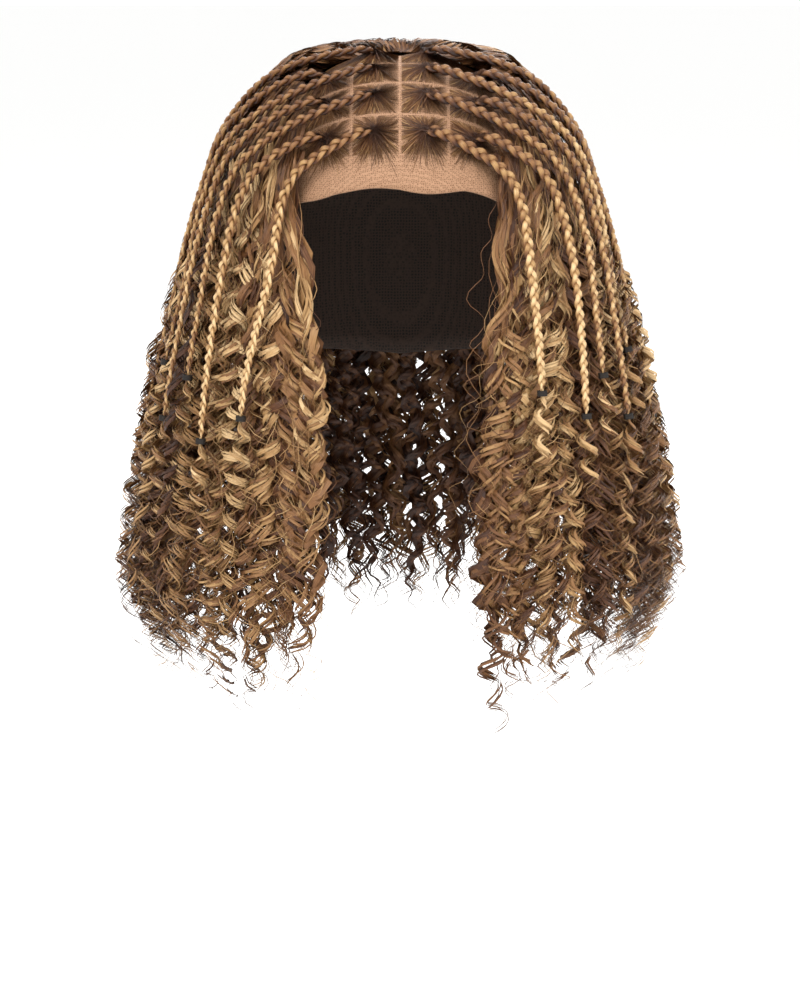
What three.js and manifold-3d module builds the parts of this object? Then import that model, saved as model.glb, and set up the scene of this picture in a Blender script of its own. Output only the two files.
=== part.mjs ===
// Braid wig: a lace front and a net cap, loose curly hair in hanging slices with ragged tips, and
// fourteen slim box braids, each plaited from the gathered hair of its own square on the lace.
// Millimetres, +Z up. The origin is the middle of the cap's inner top, where a head carries it.
// The face side looks along -Y. A turn is an angle about Z from the face side, growing towards +X.

import * as THREE from 'three';
import { mergeVertices } from 'three/addons/utils/BufferGeometryUtils.js';
import Module from 'manifold-3d';

const wasm = await Module();
wasm.setup();

// Cap: half sizes of its inner form, and how it is made
const CAP_SIDE = 76;
const CAP_FRONT = 92;
const CAP_BACK = 100;
const CROWN_HEIGHT = 105;
const NAPE_REACH = 150;
const CAP_DEPTH = 160;
const CAP_ROUNDNESS = 2.4;
const LACE_WALL = 1.0;
const NET_WALL = 1.5;
const SEAM_GAP = 0.3;
const LACE_RIPPLE = 1.3;
const LACE_RIPPLES = 11;
const SEAM_TURN = 90;
const FULL_TURN = 360;

// Loose hair: how far it stands off the cap, how low it hangs and how thick the curtain is
const HAIR_RISE = 11;
const HAIR_DROP = 312;
const BULK_SIDE = 69;
const BULK_FRONT = 9;
const BULK_BACK = 41;
const HAIR_THICKNESS = 36;
const HAIR_CLEARANCE = 1.4;
const SLICE_GAP = 0.6;
const LOCK_GROOVE = 9;
const GROOVE_WALL_SHARE = 0.4;
const CURL_SWING = 2.6;
const CURL_SWAY_TURN = 1.5;
const CURL_START = 0.5;
const TIP_RAGGED = 26;
const TIP_THICKNESS = 5;
const TIP_START = 0.75;
const UNEVENNESS = 0.5;
const FACE_EDGE_TURN = 31;
const FACE_EDGE_CLOSING = 7;
const CHEEK_TURN = 74;
const EAR_TURN = 117;
const NAPE_TURN = 159;

// Crown patch of loose hair behind the braided squares: its half width at the squares, how much
// wider its rounded back edge spreads, and how far back and forward it reaches
const CROWN_HALF_WIDTH = 53;
const CROWN_WIDENING = 5;
const CROWN_BACK = 52;
const CROWN_GAP = 1.4;
const CROWN_FRONT = 5;
const CROWN_RIPPLE = 1.6;
const CROWN_CORNER = 4;
const TEMPLE_DEPTH = 56;

// Braided squares on the lace, from the centre parting outwards and from the hairline up
const SQUARE_WIDTH = 21.5;
const PARTING = 1.4;
const HAIRLINE_RISE = 38;
const ROW_RISE = 12;
const PARTING_RISE = 0.8;
const ROOT_CLEARANCE = 0.55;
const ROOT_EDGE = 0.9;
const ROOT_HEIGHT = 2.2;

// Braids, their elastics and the curly tails below them
const BRAID_WIDTH = 6.2;
const BRAID_THICKNESS = 4.8;
const BRAID_TAPER = 0.7;
const BRAID_WAIST = 0.86;
const BRAID_CLEARANCE = 0.5;
const BRAID_START_LIFT = 0.2;
const BRAID_DROP = 178;
const BRAID_DIP = 1.25;
const NECK_RADIUS = 1.5;
const ELASTIC_CLEARANCE = 0.3;
const ELASTIC_WALL = 1.0;
const ELASTIC_HEIGHT = 3.2;
const TAIL_LENGTH = 36;
const TAIL_WIDTH = 8;
const TAIL_SWING = 3;
const TAIL_TIP = 0.15;
const TAIL_FLATNESS = 0.7;

// How finely the solids are drawn
const LACE_GRID = { columns: 30, rows: 8 };
const NET_GRID = { columns: 20, rows: 8 };
const LOCKS_PER_SLICE = 5;
const LOCK_ROWS = 14;
const CROWN_GRID = { columns: 8, rows: 4 };
const ROOT_CELLS = 3;
const BRAID_SIDES = 5;
const RINGS = { outward: 8, hanging: 7, tail: 6 };
const ELASTIC_SIDES = 6;

// The cap's lower edge: depth as a share of CAP_DEPTH, at each turn from the face side
const RIM = [
  { turn: 0, depth: 0.365 },
  { turn: 20, depth: 0.375 },
  { turn: 40, depth: 0.43 },
  { turn: 60, depth: 0.6 },
  { turn: 80, depth: 0.7 },
  { turn: 100, depth: 0.71 },
  { turn: 120, depth: 0.86 },
  { turn: 150, depth: 0.97 },
  { turn: 180, depth: 1 },
];

// Outer form of the loose hair, from its top to its hem. The height is made of shares of
// HAIR_RISE, of CROWN_HEIGHT and of the fall from there to HAIR_DROP. The half sizes are a
// share of the cap's and a share of the bulk that stands off it.
const HAIR_SECTIONS = [
  { rise: 1.0, crown: 0.0, fall: 0.0, cap: 0.0, side: 0.0, front: 0.0, back: 0.0 },
  { rise: 0.45, crown: 0.0, fall: 0.0, cap: 0.24, side: 0.39, front: 0.0, back: 0.63 },
  { rise: 0.0, crown: 0.05, fall: 0.0, cap: 0.5, side: 0.35, front: 0.2, back: 0.54 },
  { rise: 0.0, crown: 0.21, fall: 0.0, cap: 0.74, side: 0.3, front: 0.39, back: 0.49 },
  { rise: 0.0, crown: 0.38, fall: 0.0, cap: 0.87, side: 0.33, front: 0.41, back: 0.49 },
  { rise: 0.0, crown: 0.57, fall: 0.0, cap: 0.945, side: 0.35, front: 0.5, back: 0.6 },
  { rise: 0.0, crown: 0.95, fall: 0.0, cap: 1.0, side: 0.51, front: 0.55, back: 0.76 },
  { rise: 0.0, crown: 1.0, fall: 0.17, cap: 1.0, side: 0.68, front: 0.89, back: 0.93 },
  { rise: 0.0, crown: 1.0, fall: 0.36, cap: 1.0, side: 0.81, front: 1.0, back: 1.0 },
  { rise: 0.0, crown: 1.0, fall: 0.56, cap: 1.0, side: 0.93, front: 1.0, back: 1.0 },
  { rise: 0.0, crown: 1.0, fall: 0.73, cap: 1.0, side: 1.0, front: 0.8, back: 0.9 },
  { rise: 0.0, crown: 1.0, fall: 0.87, cap: 1.0, side: 0.84, front: 0.44, back: 0.68 },
  { rise: 0.0, crown: 1.0, fall: 1.0, cap: 0.95, side: 0.69, front: 0.1, back: 0.51 },
];

// Hanging slices of loose hair, each between two turns
const SLICES = [
  { name: 'hair_left_front', from: -FACE_EDGE_TURN, to: -CHEEK_TURN },
  { name: 'hair_left_side', from: -CHEEK_TURN, to: -EAR_TURN },
  { name: 'hair_left_back', from: -EAR_TURN, to: -NAPE_TURN },
  { name: 'hair_back', from: -NAPE_TURN, to: NAPE_TURN - FULL_TURN },
  { name: 'hair_right_back', from: NAPE_TURN, to: EAR_TURN },
  { name: 'hair_right_side', from: EAR_TURN, to: CHEEK_TURN },
  { name: 'hair_right_front', from: CHEEK_TURN, to: FACE_EDGE_TURN },
];

// Braids of one side, from the hairline back. Row and column give the square that each grows
// from, span its width in squares. Each runs outwards to its shoulder and hangs to its elastic;
// depths are shares of BRAID_DROP.
const LEFT_BRAIDS = [
  { row: 1, column: 1, span: 1, shoulderTurn: 34, shoulder: 0.43, endTurn: 40, end: 0.93 },
  { row: 1, column: 2, span: 1, shoulderTurn: 49, shoulder: 0.46, endTurn: 50, end: 1.0 },
  { row: 2, column: 1, span: 1, shoulderTurn: 56, shoulder: 0.43, endTurn: 57, end: 0.84 },
  { row: 2, column: 2, span: 1, shoulderTurn: 63, shoulder: 0.4, endTurn: 64, end: 0.96 },
  { row: 3, column: 1, span: 1, shoulderTurn: 70, shoulder: 0.35, endTurn: 71, end: 0.82 },
  { row: 3, column: 2, span: 1, shoulderTurn: 79, shoulder: 0.32, endTurn: 81, end: 0.97 },
  { row: 4, column: 1, span: 2, shoulderTurn: 90, shoulder: 0.28, endTurn: 93, end: 0.88 },
];
const RIGHT_BRAIDS = [
  { row: 1, column: 1, span: 1, shoulderTurn: 35, shoulder: 0.44, endTurn: 36, end: 0.86 },
  { row: 1, column: 2, span: 1, shoulderTurn: 48, shoulder: 0.48, endTurn: 47, end: 0.93 },
  { row: 2, column: 1, span: 1, shoulderTurn: 55, shoulder: 0.44, endTurn: 54, end: 0.83 },
  { row: 2, column: 2, span: 1, shoulderTurn: 62, shoulder: 0.4, endTurn: 61, end: 0.95 },
  { row: 3, column: 1, span: 1, shoulderTurn: 69, shoulder: 0.35, endTurn: 68, end: 0.78 },
  { row: 3, column: 2, span: 1, shoulderTurn: 78, shoulder: 0.32, endTurn: 79, end: 0.98 },
  { row: 4, column: 1, span: 2, shoulderTurn: 89, shoulder: 0.28, endTurn: 92, end: 0.9 },
];

const LACE = new THREE.MeshStandardMaterial({ color: '#c39873', roughness: 0.75, metalness: 0 });
const NET = new THREE.MeshStandardMaterial({ color: '#2b2019', roughness: 0.85, metalness: 0 });
const HAIR = new THREE.MeshStandardMaterial({ color: '#6d4b33', roughness: 0.5, metalness: 0 });
const PLAIT = new THREE.MeshStandardMaterial({ color: '#916e4b', roughness: 0.5, metalness: 0 });
const RUBBER = new THREE.MeshStandardMaterial({ color: '#232326', roughness: 0.6, metalness: 0 });

const MERGE_DISTANCE = 1e-3;
const SCATTER = { step: 127.1, start: 11.7, spread: 43758.5453 };
const HALVINGS = 40;
const crownSpread = CROWN_HALF_WIDTH + CROWN_WIDENING;
const capCentre = new THREE.Vector3(0, 0, -CROWN_HEIGHT);

const radians = THREE.MathUtils.degToRad;
const degrees = THREE.MathUtils.radToDeg;
const mix = THREE.MathUtils.lerp;

// A repeatable share between -1 and 1 for one lock or tip
function scatter(seed) {
  const wave = Math.sin(seed * SCATTER.step + SCATTER.start) * SCATTER.spread;
  return 2 * (wave - Math.floor(wave)) - 1;
}

// Smooth curve through one column of a table, for a place between 0 and 1
function readTable(rows, column, place) {
  const at = THREE.MathUtils.clamp(place, 0, 1) * (rows.length - 1);
  const left = Math.min(Math.floor(at), rows.length - 2);
  const value = (i) => rows[THREE.MathUtils.clamp(i, 0, rows.length - 1)][column];
  const [a, b, c, d] = [value(left - 1), value(left), value(left + 1), value(left + 2)];
  const s = at - left;
  const bend = (2 * a - 5 * b + 4 * c - d) * s * s + (3 * b - a - 3 * c + d) * s * s * s;
  return b + 0.5 * ((c - a) * s + bend);
}

// Where a falling quantity along 0..1 reaches a wanted value
function findPlace(quantityAt, wanted) {
  let [low, high] = [0, 1];
  for (let step = 0; step < HALVINGS; step += 1) {
    const middle = (low + high) / 2;
    if (quantityAt(middle) < wanted) low = middle;
    else high = middle;
  }
  return (low + high) / 2;
}

// One closed body from points and triangles, its faces turned outwards
function closedGeometry(points, triangles) {
  const loose = new THREE.BufferGeometry().setFromPoints(points);
  loose.setIndex(triangles.flat());
  const merged = mergeVertices(loose, MERGE_DISTANCE);
  const corners = merged.index.array;
  const place = (i) => new THREE.Vector3().fromBufferAttribute(merged.attributes.position, i);
  const kept = [];
  let volume = 0;
  for (let i = 0; i < corners.length; i += 3) {
    const [a, b, c] = corners.slice(i, i + 3);
    if (a === b || b === c || c === a) continue;
    kept.push([a, b, c]);
    volume += place(a).dot(place(b).cross(place(c)));
  }
  const outward = volume > 0 ? kept : kept.map(([a, b, c]) => [a, c, b]);
  merged.setIndex(outward.flat());
  return merged;
}

// A wall between an outer and an inner skin, both drawn over the same grid and closed at its edges
function wallGeometry(columns, rows, outerAt, innerAt) {
  const points = [];
  const triangles = [];
  for (const skinAt of [outerAt, innerAt]) {
    for (let c = 0; c <= columns; c += 1) {
      for (let r = 0; r <= rows; r += 1) points.push(skinAt(c, r));
    }
  }
  const outer = (c, r) => c * (rows + 1) + r;
  const inner = (c, r) => outer(c, r) + (columns + 1) * (rows + 1);
  const quad = (a, b, c, d) => triangles.push([a, b, c], [a, c, d]);
  for (let c = 0; c < columns; c += 1) {
    for (let r = 0; r < rows; r += 1) {
      quad(outer(c, r), outer(c, r + 1), outer(c + 1, r + 1), outer(c + 1, r));
      quad(inner(c, r), inner(c + 1, r), inner(c + 1, r + 1), inner(c, r + 1));
    }
    quad(outer(c, 0), outer(c + 1, 0), inner(c + 1, 0), inner(c, 0));
    quad(outer(c, rows), inner(c, rows), inner(c + 1, rows), outer(c + 1, rows));
  }
  for (let r = 0; r < rows; r += 1) {
    quad(outer(0, r), inner(0, r), inner(0, r + 1), outer(0, r + 1));
    quad(outer(columns, r), outer(columns, r + 1), inner(columns, r + 1), inner(columns, r));
  }
  return closedGeometry(points, triangles);
}

// A strand through rings, each with its centre, two half axes and two half sizes
function strandGeometry(rings, sides) {
  const points = [];
  const triangles = [];
  for (const ring of rings) {
    for (let i = 0; i < sides; i += 1) {
      const angle = (2 * Math.PI * i) / sides;
      points.push(
        ring.centre
          .clone()
          .addScaledVector(ring.across, Math.cos(angle) * ring.wide)
          .addScaledVector(ring.out, Math.sin(angle) * ring.thick),
      );
    }
  }
  const corner = (ring, side) => ring * sides + (side % sides);
  for (let ring = 0; ring + 1 < rings.length; ring += 1) {
    for (let i = 0; i < sides; i += 1) {
      const [a, b] = [corner(ring, i), corner(ring, i + 1)];
      const [c, d] = [corner(ring + 1, i + 1), corner(ring + 1, i)];
      triangles.push([a, b, c], [a, c, d]);
    }
  }
  const last = rings.length - 1;
  points.push(rings[0].centre.clone(), rings[last].centre.clone());
  for (let i = 0; i < sides; i += 1) {
    triangles.push([points.length - 2, corner(0, i + 1), corner(0, i)]);
    triangles.push([points.length - 1, corner(last, i), corner(last, i + 1)]);
  }
  return closedGeometry(points, triangles);
}

// Two closed geometries joined into one
function joined(first, second) {
  const solids = [first, second].map((geometry) => {
    const vertProperties = new Float32Array(geometry.attributes.position.array);
    const triVerts = new Uint32Array(geometry.index.array);
    return new wasm.Manifold(new wasm.Mesh({ numProp: 3, vertProperties, triVerts }));
  });
  const result = solids[0].add(solids[1]).getMesh();
  const geometry = new THREE.BufferGeometry();
  geometry.setAttribute('position', new THREE.BufferAttribute(result.vertProperties, 3));
  geometry.setIndex(new THREE.BufferAttribute(result.triVerts, 1));
  return geometry;
}

function named(name, geometry, material) {
  const mesh = new THREE.Mesh(geometry, material);
  mesh.name = name;
  return mesh;
}

// Cap

// Point of the cap's form, grown by a lift, along a direction from its centre
function capPoint(direction, lift) {
  const { x, y, z } = direction;
  const share = (value, size) => (Math.abs(value) / (size + lift)) ** CAP_ROUNDNESS;
  const length = y < 0 ? CAP_FRONT : CAP_BACK;
  const height = z > 0 ? CROWN_HEIGHT : NAPE_REACH;
  const sum = share(x, CAP_SIDE) + share(y, length) + share(z, height);
  return direction.clone().multiplyScalar(sum ** (-1 / CAP_ROUNDNESS)).add(capCentre);
}

// Direction from the cap's centre at a turn about Z and an angle down from straight up
function polarDirection(turn, angle) {
  const level = Math.sin(radians(angle));
  const [side, ahead] = [Math.sin(radians(turn)), Math.cos(radians(turn))];
  return new THREE.Vector3(level * side, -level * ahead, Math.cos(radians(angle)));
}

// Depth of the cap's lower edge at a turn, with the hand-trimmed ripple of the lace in front
function rimDepth(turn) {
  const away = Math.abs(((turn + FULL_TURN / 2) % FULL_TURN) - FULL_TURN / 2);
  const next = RIM.findIndex((row) => row.turn >= away);
  const [low, high] = [RIM[Math.max(next - 1, 0)], RIM[next]];
  const share = high === low ? 0 : (away - low.turn) / (high.turn - low.turn);
  const inFront = Math.max(Math.cos(radians(turn)), 0);
  const ripple = LACE_RIPPLE * inFront * Math.sin(radians(turn) * LACE_RIPPLES);
  return CAP_DEPTH * mix(low.depth, high.depth, share) + ripple;
}

// Angle down from straight up at which the cap's form reaches a depth at a turn
function angleAtDepth(turn, depth) {
  const depthAt = (share) => -capPoint(polarDirection(turn, share * (FULL_TURN / 2)), 0).z;
  return findPlace(depthAt, depth) * (FULL_TURN / 2);
}

// Half of the cap between two turns, moved off the ear to ear seam by half its gap, on the
// face side, -1, or the back, 1
function capHalf(name, grid, half, from, to, wall, material) {
  const turnOf = (c) => mix(from, to, c / grid.columns);
  const skinAt = (lift) => (c, r) => {
    const turn = turnOf(c);
    return capPoint(polarDirection(turn, (angleAtDepth(turn, rimDepth(turn)) * r) / grid.rows), lift);
  };
  const geometry = wallGeometry(grid.columns, grid.rows, skinAt(wall), skinAt(0));
  const mesh = named(name, geometry, material);
  mesh.position.y = (half * SEAM_GAP) / 2;
  return mesh;
}

// Loose hair

// Height and half sizes of the hair's outer form at a place between its top, 0, and its hem, 1
function hairSection(place) {
  const read = (column) => readTable(HAIR_SECTIONS, column, place);
  const fall = read('fall') * (HAIR_DROP - CROWN_HEIGHT);
  return {
    z: read('rise') * HAIR_RISE - read('crown') * CROWN_HEIGHT - fall,
    side: read('cap') * CAP_SIDE + read('side') * BULK_SIDE,
    front: read('cap') * CAP_FRONT + read('front') * BULK_FRONT,
    back: read('cap') * CAP_BACK + read('back') * BULK_BACK,
  };
}

function hairRadius(turn, place) {
  const { side, front, back } = hairSection(place);
  const ahead = Math.cos(radians(turn));
  const length = ahead > 0 ? front : back;
  if (side < MERGE_DISTANCE) return 0;
  const share = (value, size) => (Math.abs(value) / size) ** CAP_ROUNDNESS;
  return (share(Math.sin(radians(turn)), side) + share(ahead, length)) ** (-1 / CAP_ROUNDNESS);
}

// Direction in which the hair's form faces: away from the cap's centre, and level below it
function outwards(point) {
  const from = new THREE.Vector3(0, 0, Math.min(point.z, capCentre.z));
  return point.clone().sub(from).normalize();
}

// Point of the hair's outer form at a turn and a place, raised by a lift
function hairPoint(turn, place, lift) {
  const radius = hairRadius(turn, place);
  const [side, ahead] = [Math.sin(radians(turn)), Math.cos(radians(turn))];
  const point = new THREE.Vector3(radius * side, -radius * ahead, hairSection(place).z);
  return point.addScaledVector(outwards(point), lift);
}

const placeAtDepth = (depth) => findPlace((place) => -hairSection(place).z, depth);
const placeAtRadius = (turn, radius) => findPlace((place) => hairRadius(turn, place), radius);

// Inner skin of the hair behind a point of its outer skin: on the cap above the cap's widest
// level, and level with the point below it, where the curtain keeps its thickness
function innerPoint(outer, thickness) {
  const lift = NET_WALL + HAIR_CLEARANCE;
  const out = outwards(outer);
  const seat = capPoint(out, lift);
  if (outer.z > capCentre.z) return seat;
  const inwards = outer.clone().addScaledVector(out, -thickness);
  const nearest = Math.hypot(seat.x, seat.y);
  const reach = Math.hypot(inwards.x, inwards.y);
  return reach > nearest ? inwards : new THREE.Vector3(seat.x, seat.y, outer.z);
}

// Distance from the middle to the rounded back edge of the crown patch, at a turn
function crownReach(turn) {
  const [side, ahead] = [Math.sin(radians(turn)), Math.cos(radians(turn))];
  if (ahead > 0) return Infinity;
  const share = (value, size) => (Math.abs(value) / size) ** CROWN_CORNER;
  return (share(side, crownSpread) + share(ahead, CROWN_BACK)) ** (-1 / CROWN_CORNER);
}

// Where a slice's hair starts: outside the crown patch and the braided squares
function rootPlace(turn) {
  const beside = CROWN_HALF_WIDTH / Math.max(Math.abs(Math.sin(radians(turn))), MERGE_DISTANCE);
  const edge = placeAtRadius(turn, Math.min(beside, crownReach(turn)) + CROWN_GAP);
  return Math.min(edge, placeAtDepth(TEMPLE_DEPTH));
}

// How far a slice's front edge closes in over the cheek, most at the middle of its fall
function faceClosing(slice, turn, depth) {
  const span = Math.abs(slice.to - slice.from);
  const nearFace = 1 - (Math.abs(turn) - FACE_EDGE_TURN) / span;
  const low = THREE.MathUtils.clamp((depth - TEMPLE_DEPTH) / (HAIR_DROP - TEMPLE_DEPTH), 0, 1);
  return FACE_EDGE_CLOSING * Math.max(nearFace, 0) * Math.sin(Math.PI * low);
}

// One hanging slice: locks side by side, each a ridge between two grooves that swings in and out
// as it falls and ends in a tip of its own length
function hairSlice(slice, order) {
  const columns = LOCKS_PER_SLICE * 2;
  const rows = LOCK_ROWS;
  const middle = (slice.from + slice.to) / 2;
  const halfSpan = Math.abs(slice.to - slice.from) / 2;
  const inset = degrees(SLICE_GAP / 2 / (CAP_SIDE + BULK_SIDE / 2));
  const direction = Math.sign(slice.to - slice.from);
  const pointAt = (c, r, inner) => {
    const lock = order * LOCKS_PER_SLICE + (c - (c % 2)) / 2;
    const ridge = c % 2;
    const edge = c === 0 || c === columns;
    const across = (2 * c) / columns - 1;
    const level = middle + direction * across * (halfSpan - inset);
    const root = rootPlace(level);
    const hem = 1 - (ridge ? 0 : TIP_RAGGED) / HAIR_DROP;
    const ragged = (ridge * scatter(lock) * TIP_RAGGED * UNEVENNESS) / HAIR_DROP;
    const share = r / rows;
    const place = mix(root, hem + Math.min(ragged, 0), share);
    const swing = (r + lock) % 2 ? 1 : -1;
    const loose = Math.min(share / CURL_START, 1);
    const turn = level + (edge ? 0 : swing * CURL_SWAY_TURN * loose);
    const depth = -hairSection(place).z;
    const closing = slice.name.endsWith('front') ? faceClosing(slice, turn, depth) : 0;
    const uneven = 1 - swing * scatter(lock + FULL_TURN) * UNEVENNESS;
    const groove = ridge ? uneven * CURL_SWING * loose : LOCK_GROOVE;
    const outer = hairPoint(turn - Math.sign(turn) * closing, place, 0);
    const tip = Math.max((share - TIP_START) / (1 - TIP_START), 0);
    const thin = mix(1, TIP_THICKNESS / HAIR_THICKNESS, tip);
    const wall = outer.distanceTo(innerPoint(outer, HAIR_THICKNESS));
    if (inner) return innerPoint(outer, HAIR_THICKNESS * thin);
    return outer.addScaledVector(outwards(outer), -Math.min(groove * thin, wall * GROOVE_WALL_SHARE));
  };
  const outerAt = (c, r) => pointAt(c, r, false);
  const innerAt = (c, r) => pointAt(c, r, true);
  return named(slice.name, wallGeometry(columns, rows, outerAt, innerAt), HAIR);
}

// Crown patch, over the top from the last row of squares to the slices behind it
function hairCrown() {
  const { columns, rows } = CROWN_GRID;
  const outerAt = (c, r) => {
    const x = mix(-CROWN_HALF_WIDTH, CROWN_HALF_WIDTH, c / columns);
    const back = CROWN_BACK * (1 - (x / crownSpread) ** CROWN_CORNER) ** (1 / CROWN_CORNER);
    const y = mix(-CROWN_FRONT, back, r / rows);
    const turn = degrees(Math.atan2(x, -y));
    const ripple = (c + r) % 2 ? 0 : -CROWN_RIPPLE;
    return hairPoint(turn, placeAtRadius(turn, Math.hypot(x, y)), ripple);
  };
  const innerAt = (c, r) => innerPoint(outerAt(c, r), HAIR_THICKNESS);
  return named('hair_crown', wallGeometry(columns, rows, outerAt, innerAt), HAIR);
}

// Braids

// Point over the lace at a distance from the centre parting and a rise angle from the face side
function frontPoint(x, rise, lift) {
  const [ahead, up] = [Math.cos(radians(rise)), Math.sin(radians(rise))];
  const share = (value, size) => (Math.abs(value) / (size + lift)) ** CAP_ROUNDNESS;
  const length = ahead > 0 ? CAP_FRONT : CAP_BACK;
  const level = share(ahead, length) + share(up, CROWN_HEIGHT);
  const reach = ((1 - share(x, CAP_SIDE)) / level) ** (1 / CAP_ROUNDNESS);
  return new THREE.Vector3(x, -reach * ahead, reach * up).add(capCentre);
}

// Edges and middle of the square that a braid grows from
function squareOf(braid, side) {
  const near = (braid.column - 1) * (SQUARE_WIDTH + PARTING) + PARTING / 2;
  const far = near + braid.span * SQUARE_WIDTH + (braid.span - 1) * PARTING;
  const low = HAIRLINE_RISE + (braid.row - 1) * ROW_RISE;
  const high = low + ROW_RISE - PARTING_RISE;
  return {
    near: side * near,
    far: side * far,
    low,
    high,
    middle: side * (near + SQUARE_WIDTH / 2),
    rise: (low + high) / 2,
  };
}

// The square's hair, lying on the lace and gathered up towards its middle
function rootGeometry(square, span) {
  const base = LACE_WALL + ROOT_CLEARANCE;
  const columns = ROOT_CELLS * span;
  const skinAt = (heightAt) => (c, r) => {
    const x = mix(square.near, square.far, c / columns);
    const rise = mix(square.low, square.high, r / ROOT_CELLS);
    const point = frontPoint(x, rise, base + heightAt(c, r));
    point.y -= SEAM_GAP / 2;
    return point;
  };
  const onEdge = (i, cells) => i === 0 || i === cells;
  const height = (c, r) => (onEdge(c, columns) || onEdge(r, ROOT_CELLS) ? ROOT_EDGE : ROOT_HEIGHT);
  return wallGeometry(columns, ROOT_CELLS, skinAt(height), skinAt(() => 0));
}

// Turn and place of a braid's course on the hair's form: outwards first, then down
function braidCourse(braid, side, square) {
  const tuft = frontPoint(square.middle, square.rise, LACE_WALL + ROOT_CLEARANCE + ROOT_HEIGHT);
  const tuftTurn = degrees(Math.atan2(tuft.x, -tuft.y));
  const tuftPlace = findPlace((place) => {
    const section = hairPoint(tuftTurn, place, 0);
    return Math.atan2(Math.hypot(section.x, section.y), section.z - capCentre.z);
  }, Math.atan2(Math.hypot(tuft.x, tuft.y), tuft.z - capCentre.z));
  const shoulderPlace = placeAtDepth(braid.shoulder * BRAID_DROP);
  const endDepth = braid.end * BRAID_DROP;
  const outwardAt = (share) => ({
    turn: mix(tuftTurn, side * braid.shoulderTurn, Math.sin((share * Math.PI) / 2)),
    place: mix(tuftPlace, shoulderPlace, share ** BRAID_DIP),
  });
  const hangingAt = (share) => ({
    turn: side * mix(braid.shoulderTurn, braid.endTurn, THREE.MathUtils.smoothstep(share, 0, 1)),
    place: placeAtDepth(mix(braid.shoulder * BRAID_DROP, endDepth, share)),
  });
  const belowAt = (drop) => ({ turn: side * braid.endTurn, place: placeAtDepth(endDepth + drop) });
  return { tuft, outwardAt, hangingAt, belowAt };
}

// Rings of a braid from its tuft to the tip of its tail, narrow where its elastic sits
function braidRings(course) {
  const rest = BRAID_THICKNESS / 2 + BRAID_CLEARANCE;
  const rings = [];
  const add = (spot, lift, wide, thick, sway = 0) => {
    const centre = hairPoint(spot.turn, spot.place, lift);
    const out = outwards(centre);
    const across = new THREE.Vector3(0, 0, 1).cross(out).normalize();
    rings.push({ centre: centre.addScaledVector(across, sway), out, wide, thick });
  };
  const addPlait = (spot, lift, along, order) => {
    const taper = mix(1, BRAID_TAPER, along) * (order % 2 ? 1 : BRAID_WAIST);
    add(spot, lift, (BRAID_WIDTH / 2) * taper, (BRAID_THICKNESS / 2) * taper);
  };
  for (let i = 0; i < RINGS.outward; i += 1) {
    const share = i / RINGS.outward;
    const raised = Math.min(BRAID_START_LIFT + (share * (1 - BRAID_START_LIFT)) / BRAID_START_LIFT, 1);
    addPlait(course.outwardAt(share), rest * raised, share / 3, i);
  }
  rings[0].centre.copy(course.tuft).addScaledVector(rings[0].out, -ROOT_HEIGHT / 2);
  for (let i = 0; i < RINGS.hanging; i += 1) {
    const share = i / RINGS.hanging;
    addPlait(course.hangingAt(share), rest, (1 + 2 * share) / 3, i);
  }
  const neck = ELASTIC_HEIGHT / 2 + ELASTIC_CLEARANCE;
  addPlait(course.belowAt(-neck - BRAID_WIDTH / 2), rest, 1, 1);
  add(course.belowAt(-neck), rest, NECK_RADIUS, NECK_RADIUS);
  add(course.belowAt(neck), rest, NECK_RADIUS, NECK_RADIUS);
  for (let i = 1; i <= RINGS.tail; i += 1) {
    const share = i / RINGS.tail;
    const width = (TAIL_WIDTH / 2) * Math.max(1 - share ** 2, TAIL_TIP);
    const sway = TAIL_SWING * (i % 2 ? 1 : -1) * Math.min(share / CURL_START, 1);
    const lift = rest + TAIL_SWING / 2;
    add(course.belowAt(neck + TAIL_LENGTH * share), lift, width, width * TAIL_FLATNESS, sway);
  }
  rings.forEach((ring, i) => {
    const before = rings[Math.max(i - 1, 0)].centre;
    const after = rings[Math.min(i + 1, rings.length - 1)].centre;
    const along = after.clone().sub(before).normalize();
    ring.across = along.clone().cross(ring.out).normalize();
    ring.out = ring.across.clone().cross(along).normalize();
  });
  return rings;
}

// A braid with its square of roots and its tail, and the elastic round its end
function braidMeshes(braid, side, name) {
  const square = squareOf(braid, side);
  const course = braidCourse(braid, side, square);
  const strand = strandGeometry(braidRings(course), BRAID_SIDES);
  const plait = named(`braid_${name}`, joined(rootGeometry(square, braid.span), strand), PLAIT);

  const hole = NECK_RADIUS + ELASTIC_CLEARANCE;
  const half = ELASTIC_HEIGHT / 2;
  const profile = [
    [hole, -half],
    [hole + ELASTIC_WALL, -half],
    [hole + ELASTIC_WALL, half],
    [hole, half],
    [hole, -half],
  ].map(([x, y]) => new THREE.Vector2(x, y));
  const ring = named(`elastic_${name}`, new THREE.LatheGeometry(profile, ELASTIC_SIDES), RUBBER);
  const rest = BRAID_THICKNESS / 2 + BRAID_CLEARANCE;
  const placeBelow = (drop) => {
    const spot = course.belowAt(drop);
    return hairPoint(spot.turn, spot.place, rest);
  };
  const along = placeBelow(-half).sub(placeBelow(half)).normalize();
  ring.position.copy(placeBelow(0));
  ring.quaternion.setFromUnitVectors(new THREE.Vector3(0, 1, 0), along);
  return [plait, ring];
}

const group = new THREE.Group();
group.add(capHalf('lace_front', LACE_GRID, -1, -SEAM_TURN, SEAM_TURN, LACE_WALL, LACE));
group.add(capHalf('cap_net', NET_GRID, 1, SEAM_TURN, FULL_TURN - SEAM_TURN, NET_WALL, NET));
group.add(hairCrown());
SLICES.forEach((slice, order) => group.add(hairSlice(slice, order)));
LEFT_BRAIDS.forEach((braid, i) => group.add(...braidMeshes(braid, -1, `left_${i + 1}`)));
RIGHT_BRAIDS.forEach((braid, i) => group.add(...braidMeshes(braid, 1, `right_${i + 1}`)));

export default group;
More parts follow.
